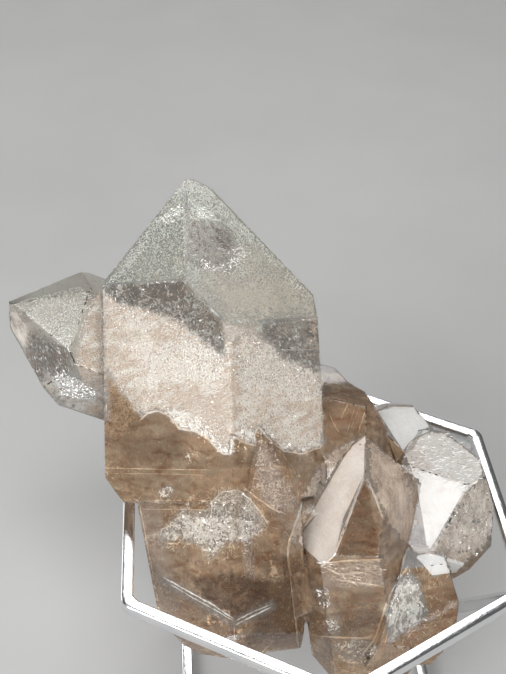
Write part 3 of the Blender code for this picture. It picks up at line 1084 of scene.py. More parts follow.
def flake_bodies(places, inward, group, random):
    """The points and faces of small flat flakes at places, facing back along inward or tilted."""
    points = []
    faces = []
    for place, ray in zip(places, inward):
        normal = unit(ray + random.normal(0, group.tilt, 3))
        side = random.normal(0, 1, 3)
        if group.line:
            side = np.array((group.line[1], 0, group.line[0])) + LINE_STRAY * side
        along = unit(np.cross(normal, side))
        across = np.cross(normal, along)
        half = random.uniform(*group.size) / 2
        turns = np.arange(FLAKE_CORNERS)
        turns = turns + random.uniform(-FLAKE_UNEVEN, FLAKE_UNEVEN, FLAKE_CORNERS)
        turns = (turns * math.tau / FLAKE_CORNERS)[:, None]
        ring = place + half * (np.cos(turns) * along + group.slim * np.sin(turns) * across)
        out = normal * min(FLAKE_THICKNESS, half * group.slim) / 2
        front = range(len(points), len(points) + FLAKE_CORNERS)
        back = range(front.stop, front.stop + FLAKE_CORNERS)
        points += [*(ring + out), *(ring - out)]
        faces += [tuple(front), tuple(back[::-1])]
        for i in range(FLAKE_CORNERS):
            j = (i + 1) % FLAKE_CORNERS
            faces.append((front[j], front[i], back[i], back[j]))
    return np.array(points), faces


def flakes(body, name, group, material, seed):
    random = np.random.default_rng(seed)
    outline = np.array(group.outline, float)
    spots = random.uniform(outline.min(0), outline.max(0), (SPOTS_DRAWN * group.count, 2))
    spots = spots[clearance(spots, outline) > 0][: group.count]
    places, rays, found = body.under(spots, random.uniform(*group.depth, len(spots)))
    quartz_piece(name, *flake_bodies(places[found], rays[found], group, random), material)


def rear_flakes(body, name, part, group, material, seed):
    random = np.random.default_rng(seed)
    places, inward = body.rear.places(part, group.count, group.depth, random)
    quartz_piece(name, *flake_bodies(places, inward, group, random), material)


def smoke_patch(body, middle, random, seed):
    """The points and triangles of a lacy patch round a place, and the way it faces."""
    normal = unit(random.normal(0, 1, 3))
    across = unit(np.cross(normal, random.normal(0, 1, 3)))
    basis = np.stack([across, np.cross(normal, across)])
    turns = np.arange(CLOUD_CORNERS) * math.tau / CLOUD_CORNERS
    radius = random.uniform(*CLOUD_RADIUS) * random.uniform(*CLOUD_UNEVEN, CLOUD_CORNERS)
    ring = np.stack([radius * np.cos(turns), CLOUD_SLIM * radius * np.sin(turns)], axis=1)
    inner = lattice(ring, CLOUD_STEP, random)
    here = middle + np.concatenate([ring, inner]) @ basis
    here += normal * uneven(here, CLOUD_WAVES, seed)[:, None]
    inside = np.array([body.depth_at(p) > CLOUD_MARGIN for p in here])
    hole = uneven(here, CLOUD_HOLES, seed, 4)
    limit = np.quantile(hole, CLOUD_LACE)
    kept = [t for t in triangulate(ring, inner) if inside[list(t)].all()]
    kept = [t for t in kept if hole[list(t)].mean() > limit]
    return here, kept, normal


def clouds(body, name, material, seed):
    """Clouds of darker smoke in the brown base, turned every way."""
    random = np.random.default_rng(seed)
    points = []
    faces = []
    left = CLOUDS
    while left:
        middle = random.uniform(CLOUD_LOW, CLOUD_HIGH)
        if body.depth_at(middle) < CLOUD_DEPTH:
            continue
        left -= 1
        here, kept, normal = smoke_patch(body, middle, random, seed + left)
        if not kept:
            continue
        used, kept = trim(kept)
        made, made_faces = slab(here[used], kept, -FILM_THICKNESS * normal)
        faces += [tuple(i + len(points) for i in f) for f in made_faces]
        points += list(made)
    quartz_piece(name, points, faces, material)


def crack(body, name, wall, material, seed):
    random = np.random.default_rng(seed)
    line = [np.array(p, float) for p in wall.line]
    path = np.array([*divide(line, CRACK_STEP), line[-1]])
    path += random.uniform(-CRACK_JITTER, CRACK_JITTER, path.shape)
    places, rays, _ = body.under(path, wall.near)
    along = np.gradient(places, axis=0)
    points = []
    faces = []
    last = len(path) - 1
    for k, (place, ray) in enumerate(zip(places, rays)):
        side = np.cross(along[k], ray)
        side /= max(np.linalg.norm(side), 1e-9)
        ends = min(1, CRACK_END + min(k, last - k) / CRACK_TAPER)
        side *= wall.thickness * ends * random.uniform(*CRACK_WIDTHS) / 2
        back = ray * (wall.far - wall.near) * random.uniform(*CRACK_DEPTHS)
        points += [place - side, place + side, place + side + back, place - side + back]
    for k in range(last):
        for i, j in ((0, 1), (1, 2), (2, 3), (3, 0)):
            faces.append((4 * k + i, 4 * k + j, 4 * k + 4 + j, 4 * k + 4 + i))
    faces += [(3, 2, 1, 0), tuple(4 * last + i for i in range(4))]
    quartz_piece(name, points, faces, material)


def sand_material():
    g = Graph("sandy_phantom")
    grain = g.noise(2.6, detail=2, rough=0.6)
    fine = g.noise(4.0, detail=2, rough=0.6)
    streaks = g.noise(0.35, detail=4, rough=0.6, stretch=(0.3, 1, 1.4), turn=math.radians(20))
    cloud = g.range(g.noise(0.12, detail=4, rough=0.6), 0.3, 0.7, -0.4, 0.4)
    light = g.plus(g.attribute("shade"), cloud, g.range(streaks, 0.36, 0.64, -0.5, 0.5))
    base = g.mix(g.range(light, 0.1, 0.9), rgb(208, 186, 163), rgb(255, 254, 250))
    return g.finish(
        Base_Color=g.mix(g.range(grain, 0.48, 0.38), base, rgb(158, 130, 104)),
        Roughness=g.range(fine, 0.35, 0.65, 0.2, 0.5),
        Normal=g.bump(g.plus(grain, g.times(fine, 0.5)), 0.0006, 1.0),
        Specular_IOR_Level=0.3,
    )


def veil_material():
    g = Graph("white_veil")
    grain = g.noise(1.8, detail=4, rough=0.7)
    base = g.mix(g.range(grain, 0.36, 0.50), rgb(232, 228, 222), rgb(255, 255, 255))
    return g.film(base, grain, (0.12, 0.4), 0.0004, 0.8)


def satin_material():
    g = Graph("satin_film")
    cloud = g.noise(0.22, detail=4, rough=0.6, stretch=(0.5, 1, 1))
    fine = g.noise(1.6, detail=3, rough=0.6)
    light = g.plus(g.attribute("shade"), g.range(cloud, 0.3, 0.7, -0.3, 0.3))
    base = g.mix(g.range(light, 0.1, 0.9), rgb(236, 230, 226), rgb(255, 255, 255))
    base = g.mix(g.range(fine, 0.60, 0.72, 0, 0.3), base, rgb(222, 212, 202))
    return g.film(base, cloud, (0.35, 0.55), 0.0003, 0.4)


def frost_material():
    g = Graph("frost_film")
    grain = g.noise(3.0, detail=2)
    cloud = g.noise(0.2, detail=4, rough=0.6)
    light = g.plus(g.attribute("shade"), g.range(cloud, 0.36, 0.64, -0.25, 0.25))
    # Warm beige where the shade is low: painted reflection of the phantom's glow in the point's lower
    # part
    base = g.mix(g.range(light, 0.1, 0.9), rgb(226, 208, 188), rgb(250, 255, 248))
    return g.film(base, grain, (0.15, 0.4), 0.0002, 0.8, Specular_IOR_Level=0.2)


def smoke_material():
    """A cloud of darker smoke in the quartz."""
    g = Graph("dark_smoke")
    cloud = g.noise(0.3, detail=5, rough=0.65, stretch=(0.5, 1, 1.3))
    grain = g.noise(1.8, detail=3, rough=0.7)
    base = g.mix(g.range(cloud, 0.38, 0.62), rgb(62, 38, 23), rgb(134, 95, 63))
    base = g.mix(g.range(grain, 0.60, 0.70, 0, 0.25), base, rgb(186, 150, 116))
    return g.film(base, grain, (0.3, 0.6), 0.0004, 0.6, Specular_IOR_Level=0.0)


def glint_material():
    """A film of air in the quartz, which reflects all the light at most slants."""
    g = Graph("air_film")
    grain = g.noise(2.4, detail=2)
    base = g.mix(g.range(grain, 0.4, 0.6), rgb(246, 244, 240), rgb(255, 255, 255))
    return g.film(base, grain, (0.08, 0.24), 0.0003, 0.8, Metallic=1.0)


def haze_material():
    g = Graph("pale_haze")
    cloud = g.noise(0.3, detail=5, rough=0.65, stretch=(1, 1, 0.5))
    grain = g.noise(2.0, detail=3, rough=0.7)
    light = g.plus(g.attribute("shade"), g.range(cloud, 0.36, 0.64, -0.5, 0.5))
    base = g.mix(g.range(light, 0.0, 1.0), rgb(150, 126, 108), rgb(250, 242, 234))
    base = g.mix(g.range(grain, 0.54, 0.64, 0, 0.6), base, rgb(255, 250, 244))
    return g.film(base, grain, (0.2, 0.45), 0.0003, 0.8)


def fracture_material():
    g = Graph("fracture_film")
    painted_iridescence = g.noise(0.28, detail=2, twist=1.0)
    grain = g.noise(0.5, detail=4, rough=0.7, stretch=(1.6, 1, 0.5), turn=math.radians(-20))
    # Faint green and pink tints: painted iridescent sheen of the fracture
    base = g.mix(g.range(painted_iridescence, 0.36, 0.46), rgb(240, 248, 245), rgb(255, 254, 252))
    base = g.mix(g.range(painted_iridescence, 0.56, 0.64), base, rgb(250, 240, 243))
    base = g.mix(g.range(grain, 0.52, 0.44), base, rgb(132, 116, 100))
    return g.film(base, grain, (0.06, 0.25), 0.0003, 0.6, Specular_IOR_Level=0.3)


FILMS = {
    "sandy_phantom": Film(PHANTOM, "sand", 1.0, lace=0.03, fringe=6),
    "sand_corner": Film(((103, 350), (128, 380), (152, 408), (141, 421), (130, 442), (102, 442)),
        "sand", 0.8, 0.2, grain=0.45, fringe=10, step=1.0),
    "veil_core": Film(((184, 519), (196, 514), (210, 516), (226, 512), (244, 518), (266, 524), (250, 543),
        (227, 542), (214, 556), (206, 560), (198, 545), (184, 540)),
        "veil", 0.35, 0.6, lace=0.34, grain=0.2, fringe=5, step=0.9),
    "veil_loop": Film(((158, 533), (166, 526), (182, 509), (192, 511), (190, 541), (177, 541),
        (163, 543)),
        "veil", 0.35, 0.6, lace=0.5, grain=0.3, fringe=4, step=0.9),
    "veil_lobe": Film(((208, 514), (211, 500), (224, 490), (239, 489), (251, 499), (260, 512), (262, 520),
        (226, 516)),
        "veil", 0.45, 0.6, lace=0.3, grain=0.6, fringe=5, step=0.9),
    # White satin films under the plates' faces: milky frost, and painted highlight where the faces catch
    # the light
    "plate_white_film": Film(PLATE_WHITE, "satin", 0.4, 0.05, rough=0.3),
    "plate_upper_film": Film(PLATE_UPPER, "satin", 0.4, 0.08, rough=0.4),
    "plate_low_film": Film(PLATE_LOW, "satin", 0.3, 0.15, rough=0.5),
    "plate_top_film": Film(PLATE_TOP, "satin", 0.4, 0.1, grain=0.02, rough=0.5),
    "plate_right_haze": Film(PLATE_RIGHT, "haze", 0.9, 0.4, lace=0.12, fringe=5),
    "fracture": Film(FRACTURE, "fracture", 0.5, 0.8, lace=0.16, fringe=6, step=1.4),
    "left_rim": Film(((166, 410), (176, 408), (190, 413), (204, 424), (214, 434), (224, 446), (231, 444),
        (231, 452), (224, 454), (213, 446), (204, 437), (190, 430), (180, 428), (170, 418)),
        "veil", 0.6, 0.5, lace=0.3, fringe=2, step=1.3),
    "middle_rim": Film(((234, 420), (244, 422), (252, 430), (256, 427), (254, 435), (255, 445),
        (242, 441), (234, 434)),
        "veil", 0.6, 0.5, lace=0.25, fringe=2, step=1.3),
    "right_rim": Film(((258, 425), (268, 431), (283, 442), (302, 447), (322, 439), (322, 446), (301, 453),
        (283, 450), (268, 438)),
        "veil", 0.6, 0.5, lace=0.45, fringe=2, step=1.3),
    "stem_smear": Film(((268, 556), (276, 560), (283, 588), (276, 590), (270, 575)),
        "veil", 0.6, 0.4, lace=0.45, fringe=3, step=1.3),
    "tip_left_frost": Film(((182, 184), (185, 278), (108, 283)),
        "frost", 0.25, 0.05, grain=0.74, step=1.0, rough=0.3),
    "tip_right_frost": Film(((186, 182), (210, 190), (312, 296), (315, 316), (244, 321), (224, 318),
        (186, 280), (188, 262), (206, 272), (236, 272), (238, 246), (232, 228), (212, 218), (190, 220)),
        "frost", 0.25, 0.05, grain=0.64, step=1.0, rough=0.3),
    "tip_wedge": Film(((221, 315), (246, 319), (264, 323), (262, 334), (246, 333), (236, 340), (229, 354),
        (224, 350), (223, 330)),
        "sand", 0.5, 0.05, grain=0.1, fringe=2, step=1.1),
    # A warm beige film under the lower part of the point: painted reflection of the phantom's glow
    "tip_right_painted_glow": Film(((192, 272), (206, 278), (240, 280), (262, 270), (290, 274), (311, 300),
        (314, 315), (244, 320), (225, 317)),
        "frost", 0.7, 0.05, grain=0.4, fringe=16, step=1.0, rough=0.3),
    "side_frost": Film(SIDE_BRIGHT, "frost", 0.25, 0.05, grain=0.8, step=1.0, rough=0.3),
    "side_rim_haze": Film(((9, 313), (15, 306), (34, 332), (31, 352), (24, 346), (14, 330)),
        "haze", 0.7, 0.2, fringe=3),
    "side_low_film": Film(((48, 374), (66, 372), (78, 380), (98, 385), (99, 402), (80, 400), (60, 396)),
        "veil", 0.4, 0.6, lace=0.5, fringe=4, step=1.1),
    "side_base_haze": Film(((40, 366), (60, 372), (104, 384), (104, 416), (86, 412), (62, 402),
        (46, 386)),
        "sand", 0.9, 0.4, lace=0.08, fringe=4),
    "side_right_haze": Film(((76, 350), (92, 298), (108, 286), (108, 392), (84, 388), (74, 368)),
        "sand", 0.3, 0.1, fringe=5),
    "side_smoke": Film(SIDE_STREAKED, "smoke", 3.0, 0.5, lace=0.2, fringe=4, step=2.0),
    "stout_film": Film(STOUT_PALE, "satin", 0.4, 0.06, rough=0.3),
    "stout_right_haze": Film(STOUT_RIGHT, "haze", 0.8, 0.3, fringe=6),
    "stout_strip_haze": Film(((360, 437), (349, 448), (324, 490), (300, 532), (296, 541), (290, 550),
        (291, 530), (300, 502), (316, 469), (334, 449)),
        "sand", 0.5, 0.3, lace=0.12, fringe=2),
    "stout_low_haze": Film(((320, 561), (382, 558), (384, 576), (370, 590), (340, 588), (324, 580)),
        "haze", 0.9, 0.5, grain=0.6, fringe=8, step=1.0),
    "triangle_smoke": Film(STOUT_TRIANGLE, "smoke", 1.6, 0.4, lace=0.12, fringe=2, step=2.0),
    "window_smoke": Film(SMOKY_PATCH, "smoke", 2.0, 0.5, lace=0.66, fringe=12, step=1.3),
    # Dark films in the clear windows: painted shade of the dark seen through the quartz
    "left_window_painted_dark": Film(LEFT_WINDOW, "smoke", 1.5, 0.4, lace=0.6, fringe=2, step=1.5),
    "left_window_scratches": Film(LEFT_WINDOW, "veil", 0.5, 0.4, lace=0.82, step=1.0),
    "right_window_painted_dark": Film(RIGHT_WINDOW, "smoke", 1.5, 0.4, lace=0.66, fringe=3, step=1.5),
    "right_window_scratches": Film(RIGHT_WINDOW, "veil", 0.5, 0.4, lace=0.85, step=1.0),
    "stem_smoke": Film(((160, 596), (186, 575), (230, 570), (262, 572), (276, 556), (288, 556),
        (300, 580), (300, 646), (236, 650), (176, 630)),
        "smoke", 3.2, 0.8, lace=0.35, fringe=14, step=1.8),
    "back_smoke": Film(((322, 390), (345, 380), (370, 400), (374, 430), (352, 436), (330, 446),
        (324, 420)),
        "smoke", 0.9, 0.4, lace=0.1, fringe=4, step=2.0),
    "base_smoke": Film(((424, 590), (456, 580), (460, 612), (440, 634), (404, 652), (404, 636),
        (428, 622)),
        "smoke", 1.3, 0.6, lace=0.12, fringe=3, step=2.0),
    "stout_smoke": Film(((310, 585), (350, 592), (382, 588), (380, 630), (350, 640), (312, 640)),
        "smoke", 3.0, 0.8, lace=0.5, fringe=10, step=1.8),
}

SCATTER = {
    "phantom_grains": Scatter(PHANTOM, 700, "glint"),
    "phantom_specks": Scatter(PHANTOM, 1500, "veil", (0.2, 0.8), (0.2, 0.45)),
    "phantom_sparkle": Scatter(((103, 290), (160, 306), (200, 330), (226, 352), (226, 380), (180, 350),
        (103, 326)),
        260, "glint", (0.05, 0.5), (0.3, 0.9), 0.5, 1.3),
    "phantom_band_sparkle": Scatter(((228, 350), (262, 340), (284, 358), (318, 372), (320, 392),
        (230, 384)),
        260, "glint", (0.05, 0.5), (0.3, 0.9), 0.5, 1.3),
    "phantom_fringe": Scatter(((104, 286), (140, 294), (186, 306), (212, 330), (224, 346), (230, 318),
        (268, 308), (290, 345), (318, 360), (318, 380), (270, 362), (240, 340), (224, 366), (190, 346),
        (150, 326), (104, 304)),
        900, "veil", (0.3, 1.2), (0.25, 0.7)),
    "tip_left_sparkle": Scatter(LEFT_GLOW, 70, "glint", (0.05, 0.2), (0.3, 1.0), 0.25, 1.0),
    "tip_left_wisps": Scatter(LEFT_GLOW, 120, "veil", (0.05, 0.2), (0.3, 1.3), 0.16),
    "tip_right_sparkle": Scatter(RIGHT_GLOW, 80, "glint", (0.05, 0.2), (0.3, 0.9), 0.3, 1.0),
    "tip_right_wisps": Scatter(RIGHT_GLOW, 120, "veil", (0.05, 0.2), (0.3, 0.9), 0.25),
    "tip_streaks": Scatter(POINT_STREAK, 85, "glint", (0.05, 0.3), (0.4, 1.3), 0.22, 1.0),
    "tip_streak_wisps": Scatter(POINT_STREAK, 110, "veil", (0.05, 0.2), (0.4, 1.3), 0.18),
    "apex_light": Scatter(((181, 180), (195, 179), (212, 188), (216, 200), (196, 190), (182, 192),
        (172, 200)),
        420, "veil", (0.1, 0.4), (0.2, 0.5), 0.5),
    "left_flank_light": Scatter(((180, 182), (182, 196), (126, 274), (106, 284)),
        620, "veil", (0.1, 0.4), (0.2, 0.5), 0.5),
    "right_flank_light": Scatter(((210, 188), (314, 294), (314, 306), (300, 294), (208, 200)),
        620, "veil", (0.1, 0.4), (0.2, 0.5), 0.5),
    "left_window_flecks": Scatter(LEFT_WINDOW, 260, "veil", (0.1, 1.0), (0.4, 1.6), 0.2),
    "right_window_flecks": Scatter(RIGHT_WINDOW, 160, "veil", (0.1, 1.0), (0.4, 1.4), 0.2),
    "left_window_glints": Scatter(LEFT_WINDOW, 160, "glint", (0.3, 1.5), (0.3, 1.0), 0.35),
    "right_window_glints": Scatter(RIGHT_WINDOW, 90, "glint", (0.3, 1.5), (0.3, 0.9), 0.35),
    "smoky_patch_flecks": Scatter(SMOKY_PATCH, 200, "veil", (0.3, 2.0), (0.2, 1.0), 0.2),
    "rim_glints": Scatter(((164, 408), (176, 406), (190, 411), (204, 422), (218, 436), (230, 442),
        (240, 424), (252, 430), (268, 431), (283, 442), (320, 440), (320, 447), (300, 455), (270, 443),
        (254, 446), (232, 452), (224, 456), (206, 442), (182, 432), (168, 420)),
        360, "glint", (0.2, 0.9), (0.4, 1.3), 0.45),
    "side_streaks": Scatter(SIDE_STREAKED, 300, "veil", (0.1, 0.8), (0.5, 2.2), 0.08, line=(0.5, 1.0)),
    "side_dark_streaks": Scatter(SIDE_STREAKED, 260, "smoke", (0.3, 1.4), (0.5, 2.2), 0.12,
        line=(0.5, 1.0)),
    "side_sparkle": Scatter(((55, 376), (66, 372), (80, 382), (95, 388), (96, 399), (80, 400), (62, 394)),
        420, "glint", (0.05, 0.4), (0.4, 1.2), 0.5, 1.6),
    "side_phantom_grains": Scatter(((88, 296), (105, 290), (105, 392), (86, 388), (76, 350)),
        420, "veil", (0.3, 1.0)),
    "brown_needles": Scatter(((104, 425), (140, 424), (180, 436), (230, 458), (300, 456), (292, 520),
        (292, 645), (170, 620), (140, 500), (105, 470)),
        900, "veil", (0.3, 4.0), (0.2, 1.8), 0.05),
    "stout_needles": Scatter(((334, 450), (365, 436), (420, 520), (400, 560), (382, 640), (300, 646),
        (290, 560), (300, 500)),
        550, "veil", (0.5, 3.5), (0.2, 1.6), 0.06),
    "plate_striae": Scatter(PLATE_TOP, 260, "veil", (0.05, 0.4), (1.0, 4.0), 0.04, line=(1.0, -0.12)),
    "plate_dark_striae": Scatter(PLATE_TOP, 50, "haze", (0.05, 0.3), (1.0, 4.0), 0.05, line=(1.0, -0.12)),
    "plate_glints": Scatter(PLATE_RIGHT, 160, "glint", (0.1, 0.6), (0.3, 1.3), 0.4, 1.4),
    "plate_flecks": Scatter(((404, 455), (436, 432), (480, 456), (496, 520), (484, 550), (456, 570),
        (432, 550), (465, 490)),
        420, "veil", (0.1, 1.0), (0.3, 1.4), 0.15),
    "plate_dark_flecks": Scatter(((466, 470), (484, 470), (496, 520), (484, 550), (456, 570), (440, 556)),
        160, "smoke", (0.2, 0.7), (0.2, 0.8), 0.3),
    "base_flecks": Scatter(((402, 560), (455, 578), (458, 610), (440, 632), (400, 650), (385, 640)),
        200, "veil", (0.3, 2.0), (0.3, 1.6), 0.12),
    "veil_sparkle": Scatter(VEIL, 150, "glint", (0.05, 0.35), (0.4, 1.3), 0.35, 1.2),
    "veil_wisps": Scatter(((150, 532), (166, 520), (184, 500), (220, 484), (252, 486), (270, 524),
        (250, 552), (214, 566), (196, 548), (160, 548)),
        820, "veil", (0.2, 1.2), (0.3, 1.8), 0.1),
    "fracture_glints": Scatter(FRACTURE, 70, "glint", (0.1, 0.5), (0.5, 1.8), 0.3, 1.0, (0.5, 1.0)),
    "small_wisps": Scatter(((159, 491), (167, 486), (174, 490), (169, 497), (161, 496)),
        50, "veil", (0.05, 0.4), (0.3, 1.2), 0.25),
    "upper_wisps": Scatter(((182, 460), (190, 448), (199, 446), (198, 456), (190, 464)),
        40, "veil", (0.05, 0.5), (0.3, 1.1), 0.2),
    "stout_wisps": Scatter(((316, 590), (327, 588), (332, 604), (322, 610)),
        60, "veil", (0.05, 0.5), (0.3, 1.4), 0.2),
    "stout_low_wisps": Scatter(((326, 619), (337, 618), (340, 632), (330, 634)),
        46, "veil", (0.05, 0.5), (0.3, 1.3), 0.2),
    "stout_ledge_wisps": Scatter(((320, 562), (382, 559), (384, 574), (350, 582), (322, 574)),
        80, "veil", (0.05, 0.6), (0.4, 2.6), 0.08, line=(1.0, 0.2)),
    "base_patch_wisps": Scatter(BASE_PATCH, 160, "veil", (0.2, 0.9), (0.3, 1.2), 0.3),
    "point_veil": Scatter(((256, 440), (268, 440), (298, 506), (284, 514), (262, 500), (250, 470)),
        520, "veil", (0.2, 1.6), (0.2, 1.1), 0.22),
}

CRACKS = {
    "left_crack_upper": Crack(((163, 577), (190, 592), (214, 605), (234, 619)), 0.3, 0.05, 0.5),
    "left_crack_lower": Crack(((170, 584), (192, 597), (214, 609), (234, 621)), 0.2, 0.05, 0.5),
    "right_crack_upper": Crack(((272, 604), (252, 612), (235, 621)), 0.25, 0.05, 0.5),
    "right_crack_lower": Crack(((271, 607), (252, 616), (235, 625)), 0.3, 0.05, 0.5),
    "veil_curl": Crack(((160, 536), (162, 529), (172, 525), (182, 529), (185, 537), (178, 544),
        (166, 543)),
        0.3, 0.1, 0.6),
    "veil_curl_small": Crack(((168, 537), (173, 532), (180, 535), (176, 540)), 0.25, 0.1, 0.6),
    "lobe_curl": Crack(((212, 512), (212, 502), (222, 492), (238, 490), (250, 499), (262, 514),
        (268, 525)),
        0.3, 0.1, 0.6),
    "low_crack": Crack(((234, 626), (235, 648)), 0.2, 0.05, 0.5),
    "upper_growth_line": Crack(((105, 468), (150, 469), (212, 470)), 0.16),
    "middle_growth_line": Crack(((112, 473), (160, 474), (206, 475)), 0.12),
    "lower_growth_line": Crack(((142, 509), (180, 509), (212, 510)), 0.16),
    "window_line": Crack(((268, 350), (292, 350), (316, 350)), 0.18),
    "window_arc": Crack(((140, 285), (143, 293), (150, 298), (159, 299)), 0.15),
    "veil_crack": Crack(((240, 484), (256, 497), (272, 508), (286, 515)), 0.3),
    # A white line along the stem's edge: painted highlight of the light caught there, with some bruising
    "stem_edge": Crack(((303, 500), (296, 520), (288, 542), (287, 557), (290, 577), (295, 618),
        (298, 646)),
        0.4),
    "base_line": Crack(((249, 650), (266, 654), (284, 652)), 0.3),
    "stout_ledge": Crack(((322, 563), (350, 560), (382, 559)), 0.28),
    # White lines along the stout crystal's edges: painted highlight of the light caught there, with some
    # bruising
    "stout_edge_glint": Crack(((364, 478), (354, 505), (345, 530), (335, 555), (322, 566)), 0.3),
    "stout_right_edge_glint": Crack(((366, 478), (376, 500), (383, 520)), 0.2),
    "stout_streak_a": Crack(((327, 568), (340, 574), (362, 572)), 0.4),
    "stout_streak_b": Crack(((336, 579), (356, 582), (382, 586)), 0.3),
    "stout_streak_c": Crack(((318, 636), (344, 637), (371, 638)), 0.25),
    # A white line along the plate's edge: painted highlight of the light caught there, with some bruising
    "plate_edge_glint": Crack(((416, 474), (432, 474), (460, 483), (465, 491)), 0.25),
    "left_border": Crack(((139, 422), (148, 413), (158, 411), (170, 416), (180, 429), (196, 431),
        (207, 437), (216, 447), (224, 454), (231, 454), (233, 437)),
        0.4),
    "right_border": Crack(((233, 436), (242, 442), (255, 446), (254, 435), (258, 427), (268, 439),
        (283, 451), (301, 454), (321, 447)),
        0.3),
    "fracture_rim": Crack(((408, 567), (397, 580), (388, 598), (382, 618), (374, 640), (362, 654)), 0.4),
    "back_stria_a": Crack(((348, 404), (344, 412), (340, 422)), 0.16),
    "back_stria_b": Crack(((355, 408), (351, 420), (347, 432)), 0.12),
    "back_stria_c": Crack(((359, 408), (355, 418), (351, 428)), 0.12),
    "back_stria_d": Crack(((366, 409), (362, 421), (358, 433)), 0.22),
    "back_ledge": Crack(((325, 398), (335, 399), (346, 401)), 0.12),
    "back_crack": Crack(((329, 413), (333, 423), (339, 433)), 0.12),
}

# Flakes under the faces that the camera doesn't see: which part, then as above
REAR_SCATTER = {
    "rear_tip_frost": ("tips", Scatter((), 7500, "frost", (0.1, 0.4), (0.3, 0.7), 0.6)),
    "rear_phantom_grains": ("phantom", Scatter((), 1600, "glint", (0.3, 0.9), (0.3, 0.8), 0.6)),
    "rear_needles": ("base", Scatter((), 1800, "veil", (0.3, 3.5), (0.3, 2.2), 0.06)),
    "rear_flecks": ("base", Scatter((), 500, "glint", (0.3, 1.5), (0.3, 1.2), 0.3)),
}

# Films under the same faces: which part, the depth in millimetres, the share missing, the material
REAR_FILMS = {
    "rear_phantom": ("phantom", 1.0, 0.04, "sand"),
    "rear_veils": ("base", 0.8, 0.93, "veil"),
    "rear_smoke": ("base", 2.4, 0.78, "smoke"),
}

# The box that the clouds of smoke lie in, in millimetres
CLOUD_LOW = (-46.0, -22.0, -32.0)
CLOUD_HIGH = (38.0, 24.0, 18.0)
CLOUDS = 18

# Each cloud's corners, its radius and how uneven that is, how slim it is, the spacing of its points
# and its waves and holes, in millimetres, the share missing, and how deep its middle and its border
# lie at least
CLOUD_CORNERS = 14
CLOUD_RADIUS = (3.5, 8.0)
CLOUD_UNEVEN = (0.75, 1.0)
CLOUD_SLIM = 0.7
CLOUD_STEP = 1.3
CLOUD_WAVES = 3.0
CLOUD_HOLES = 2.0
CLOUD_LACE = 0.35
CLOUD_DEPTH = 2.5
CLOUD_MARGIN = 0.8


def inclusions(body):
    materials = {
        "sand": sand_material(),
        "veil": veil_material(),
        "satin": satin_material(),
        "frost": frost_material(),
        "smoke": smoke_material(),
        "glint": glint_material(),
        "haze": haze_material(),
        "fracture": fracture_material(),
    }
    for seed, (name, film) in enumerate(FILMS.items()):
        sheet(body, name, film, materials[film.material], seed)
    for seed, (name, group) in enumerate(SCATTER.items()):
        flakes(body, name, group, materials[group.material], seed)
    for seed, (name, wall) in enumerate(CRACKS.items()):
        crack(body, name, wall, materials["veil"], seed)
    for seed, (name, (part, group)) in enumerate(REAR_SCATTER.items()):
        rear_flakes(body, name, part, group, materials[group.material], seed)
    for seed, (name, (part, depth, lace, kind)) in enumerate(REAR_FILMS.items()):
        points, faces = body.rear.lining(part, depth, lace, seed)
        made = quartz_piece(name, points, faces, materials[kind])
        put_attribute(made.data, "shade", "POINT", np.full(len(points), 0.5))
    clouds(body, "base_clouds", materials["smoke"], CLOUD_SEED)


# The stand

# How round a bar's edges are, the size of the bend at a ring's corners, and how far a strut runs
# into the bars at its ends, in millimetres
BAR_ROUNDING = 0.42
BEND = 2.2
LAP = 0.2

# Points of a bend, how much it swells, and the places of the points between two bends
BEND_STEPS = 6
BEND_SWELL = 0.10
STRAIGHT = (0.12, 0.3, 0.5, 0.7, 0.88)

# How much a strut swells at places along it
STRUT_SWELL = {0: 1.15, 0.02: 1.1, 0.05: 1.0, 0.5: 1.0, 0.95: 1.0, 0.98: 1.1, 1: 1.15}

# Edges of the bars that turn more than this are sharp
BAR_SHARP = math.radians(35)


def chrome_material():
    g = Graph("chrome")
    smudge = g.noise(0.12, detail=4)
    scratch = g.noise(1.6, detail=2, stretch=(1, 1, 6))
    return g.finish(
        Base_Color=g.mix(g.range(smudge, 0.35, 0.65), rgb(228, 230, 233), rgb(240, 240, 240)),
        Roughness=g.plus(g.range(smudge, 0.3, 0.7, 0.04, 0.12), g.times(scratch, 0.03)),
        Normal=g.bump(g.plus(scratch, g.noise(0.25)), 0.00006, 0.5),
        Metallic=1.0,
    )


def section(size, round_off):
    """A square bar's outline with rounded edges, from the middle."""
    corner = (size / 2 - round_off) * math.sqrt(2)
    outline = []
    for quarter in (0, 90, 180, 270):
        middle = math.radians(quarter + 45)
        for turn in (0, 30, 60, 90):
            turn = math.radians(quarter + turn)
            across = corner * math.cos(middle) + round_off * math.cos(turn)
            outline.append((across, corner * math.sin(middle) + round_off * math.sin(turn)))
    return outline


def sweep(path, outline, closed, up, swell):
    """Points and faces of an outline carried along a path of points, mitred at each."""
    count = len(path)
    points = []
    for i, here in enumerate(path):
        before = path[i - 1] if closed or i else here
        after = path[(i + 1) % count] if closed or i < count - 1 else here
        into = (here - before).normalized() if here != before else (after - here).normalized()
        out = (after - here).normalized() if here != after else into
        along = (into + out).normalized()
        side = along.cross(up).normalized()
        upward = side.cross(along).normalized()
        widen = 1 / max(0.5, along.dot(into))
        for x, y in outline:
            points.append(here + side * x * widen * swell[i] + upward * y * swell[i])
    size = len(outline)
    faces = []
    for i in range(count if closed else count - 1):
        j = (i + 1) % count
        for k in range(size):
            m = (k + 1) % size
            faces.append((i * size + k, i * size + m, j * size + m, j * size + k))
    if not closed:
        faces.append(tuple(range(size))[::-1])
        faces.append(tuple((count - 1) * size + k for k in range(size)))
    return points, faces


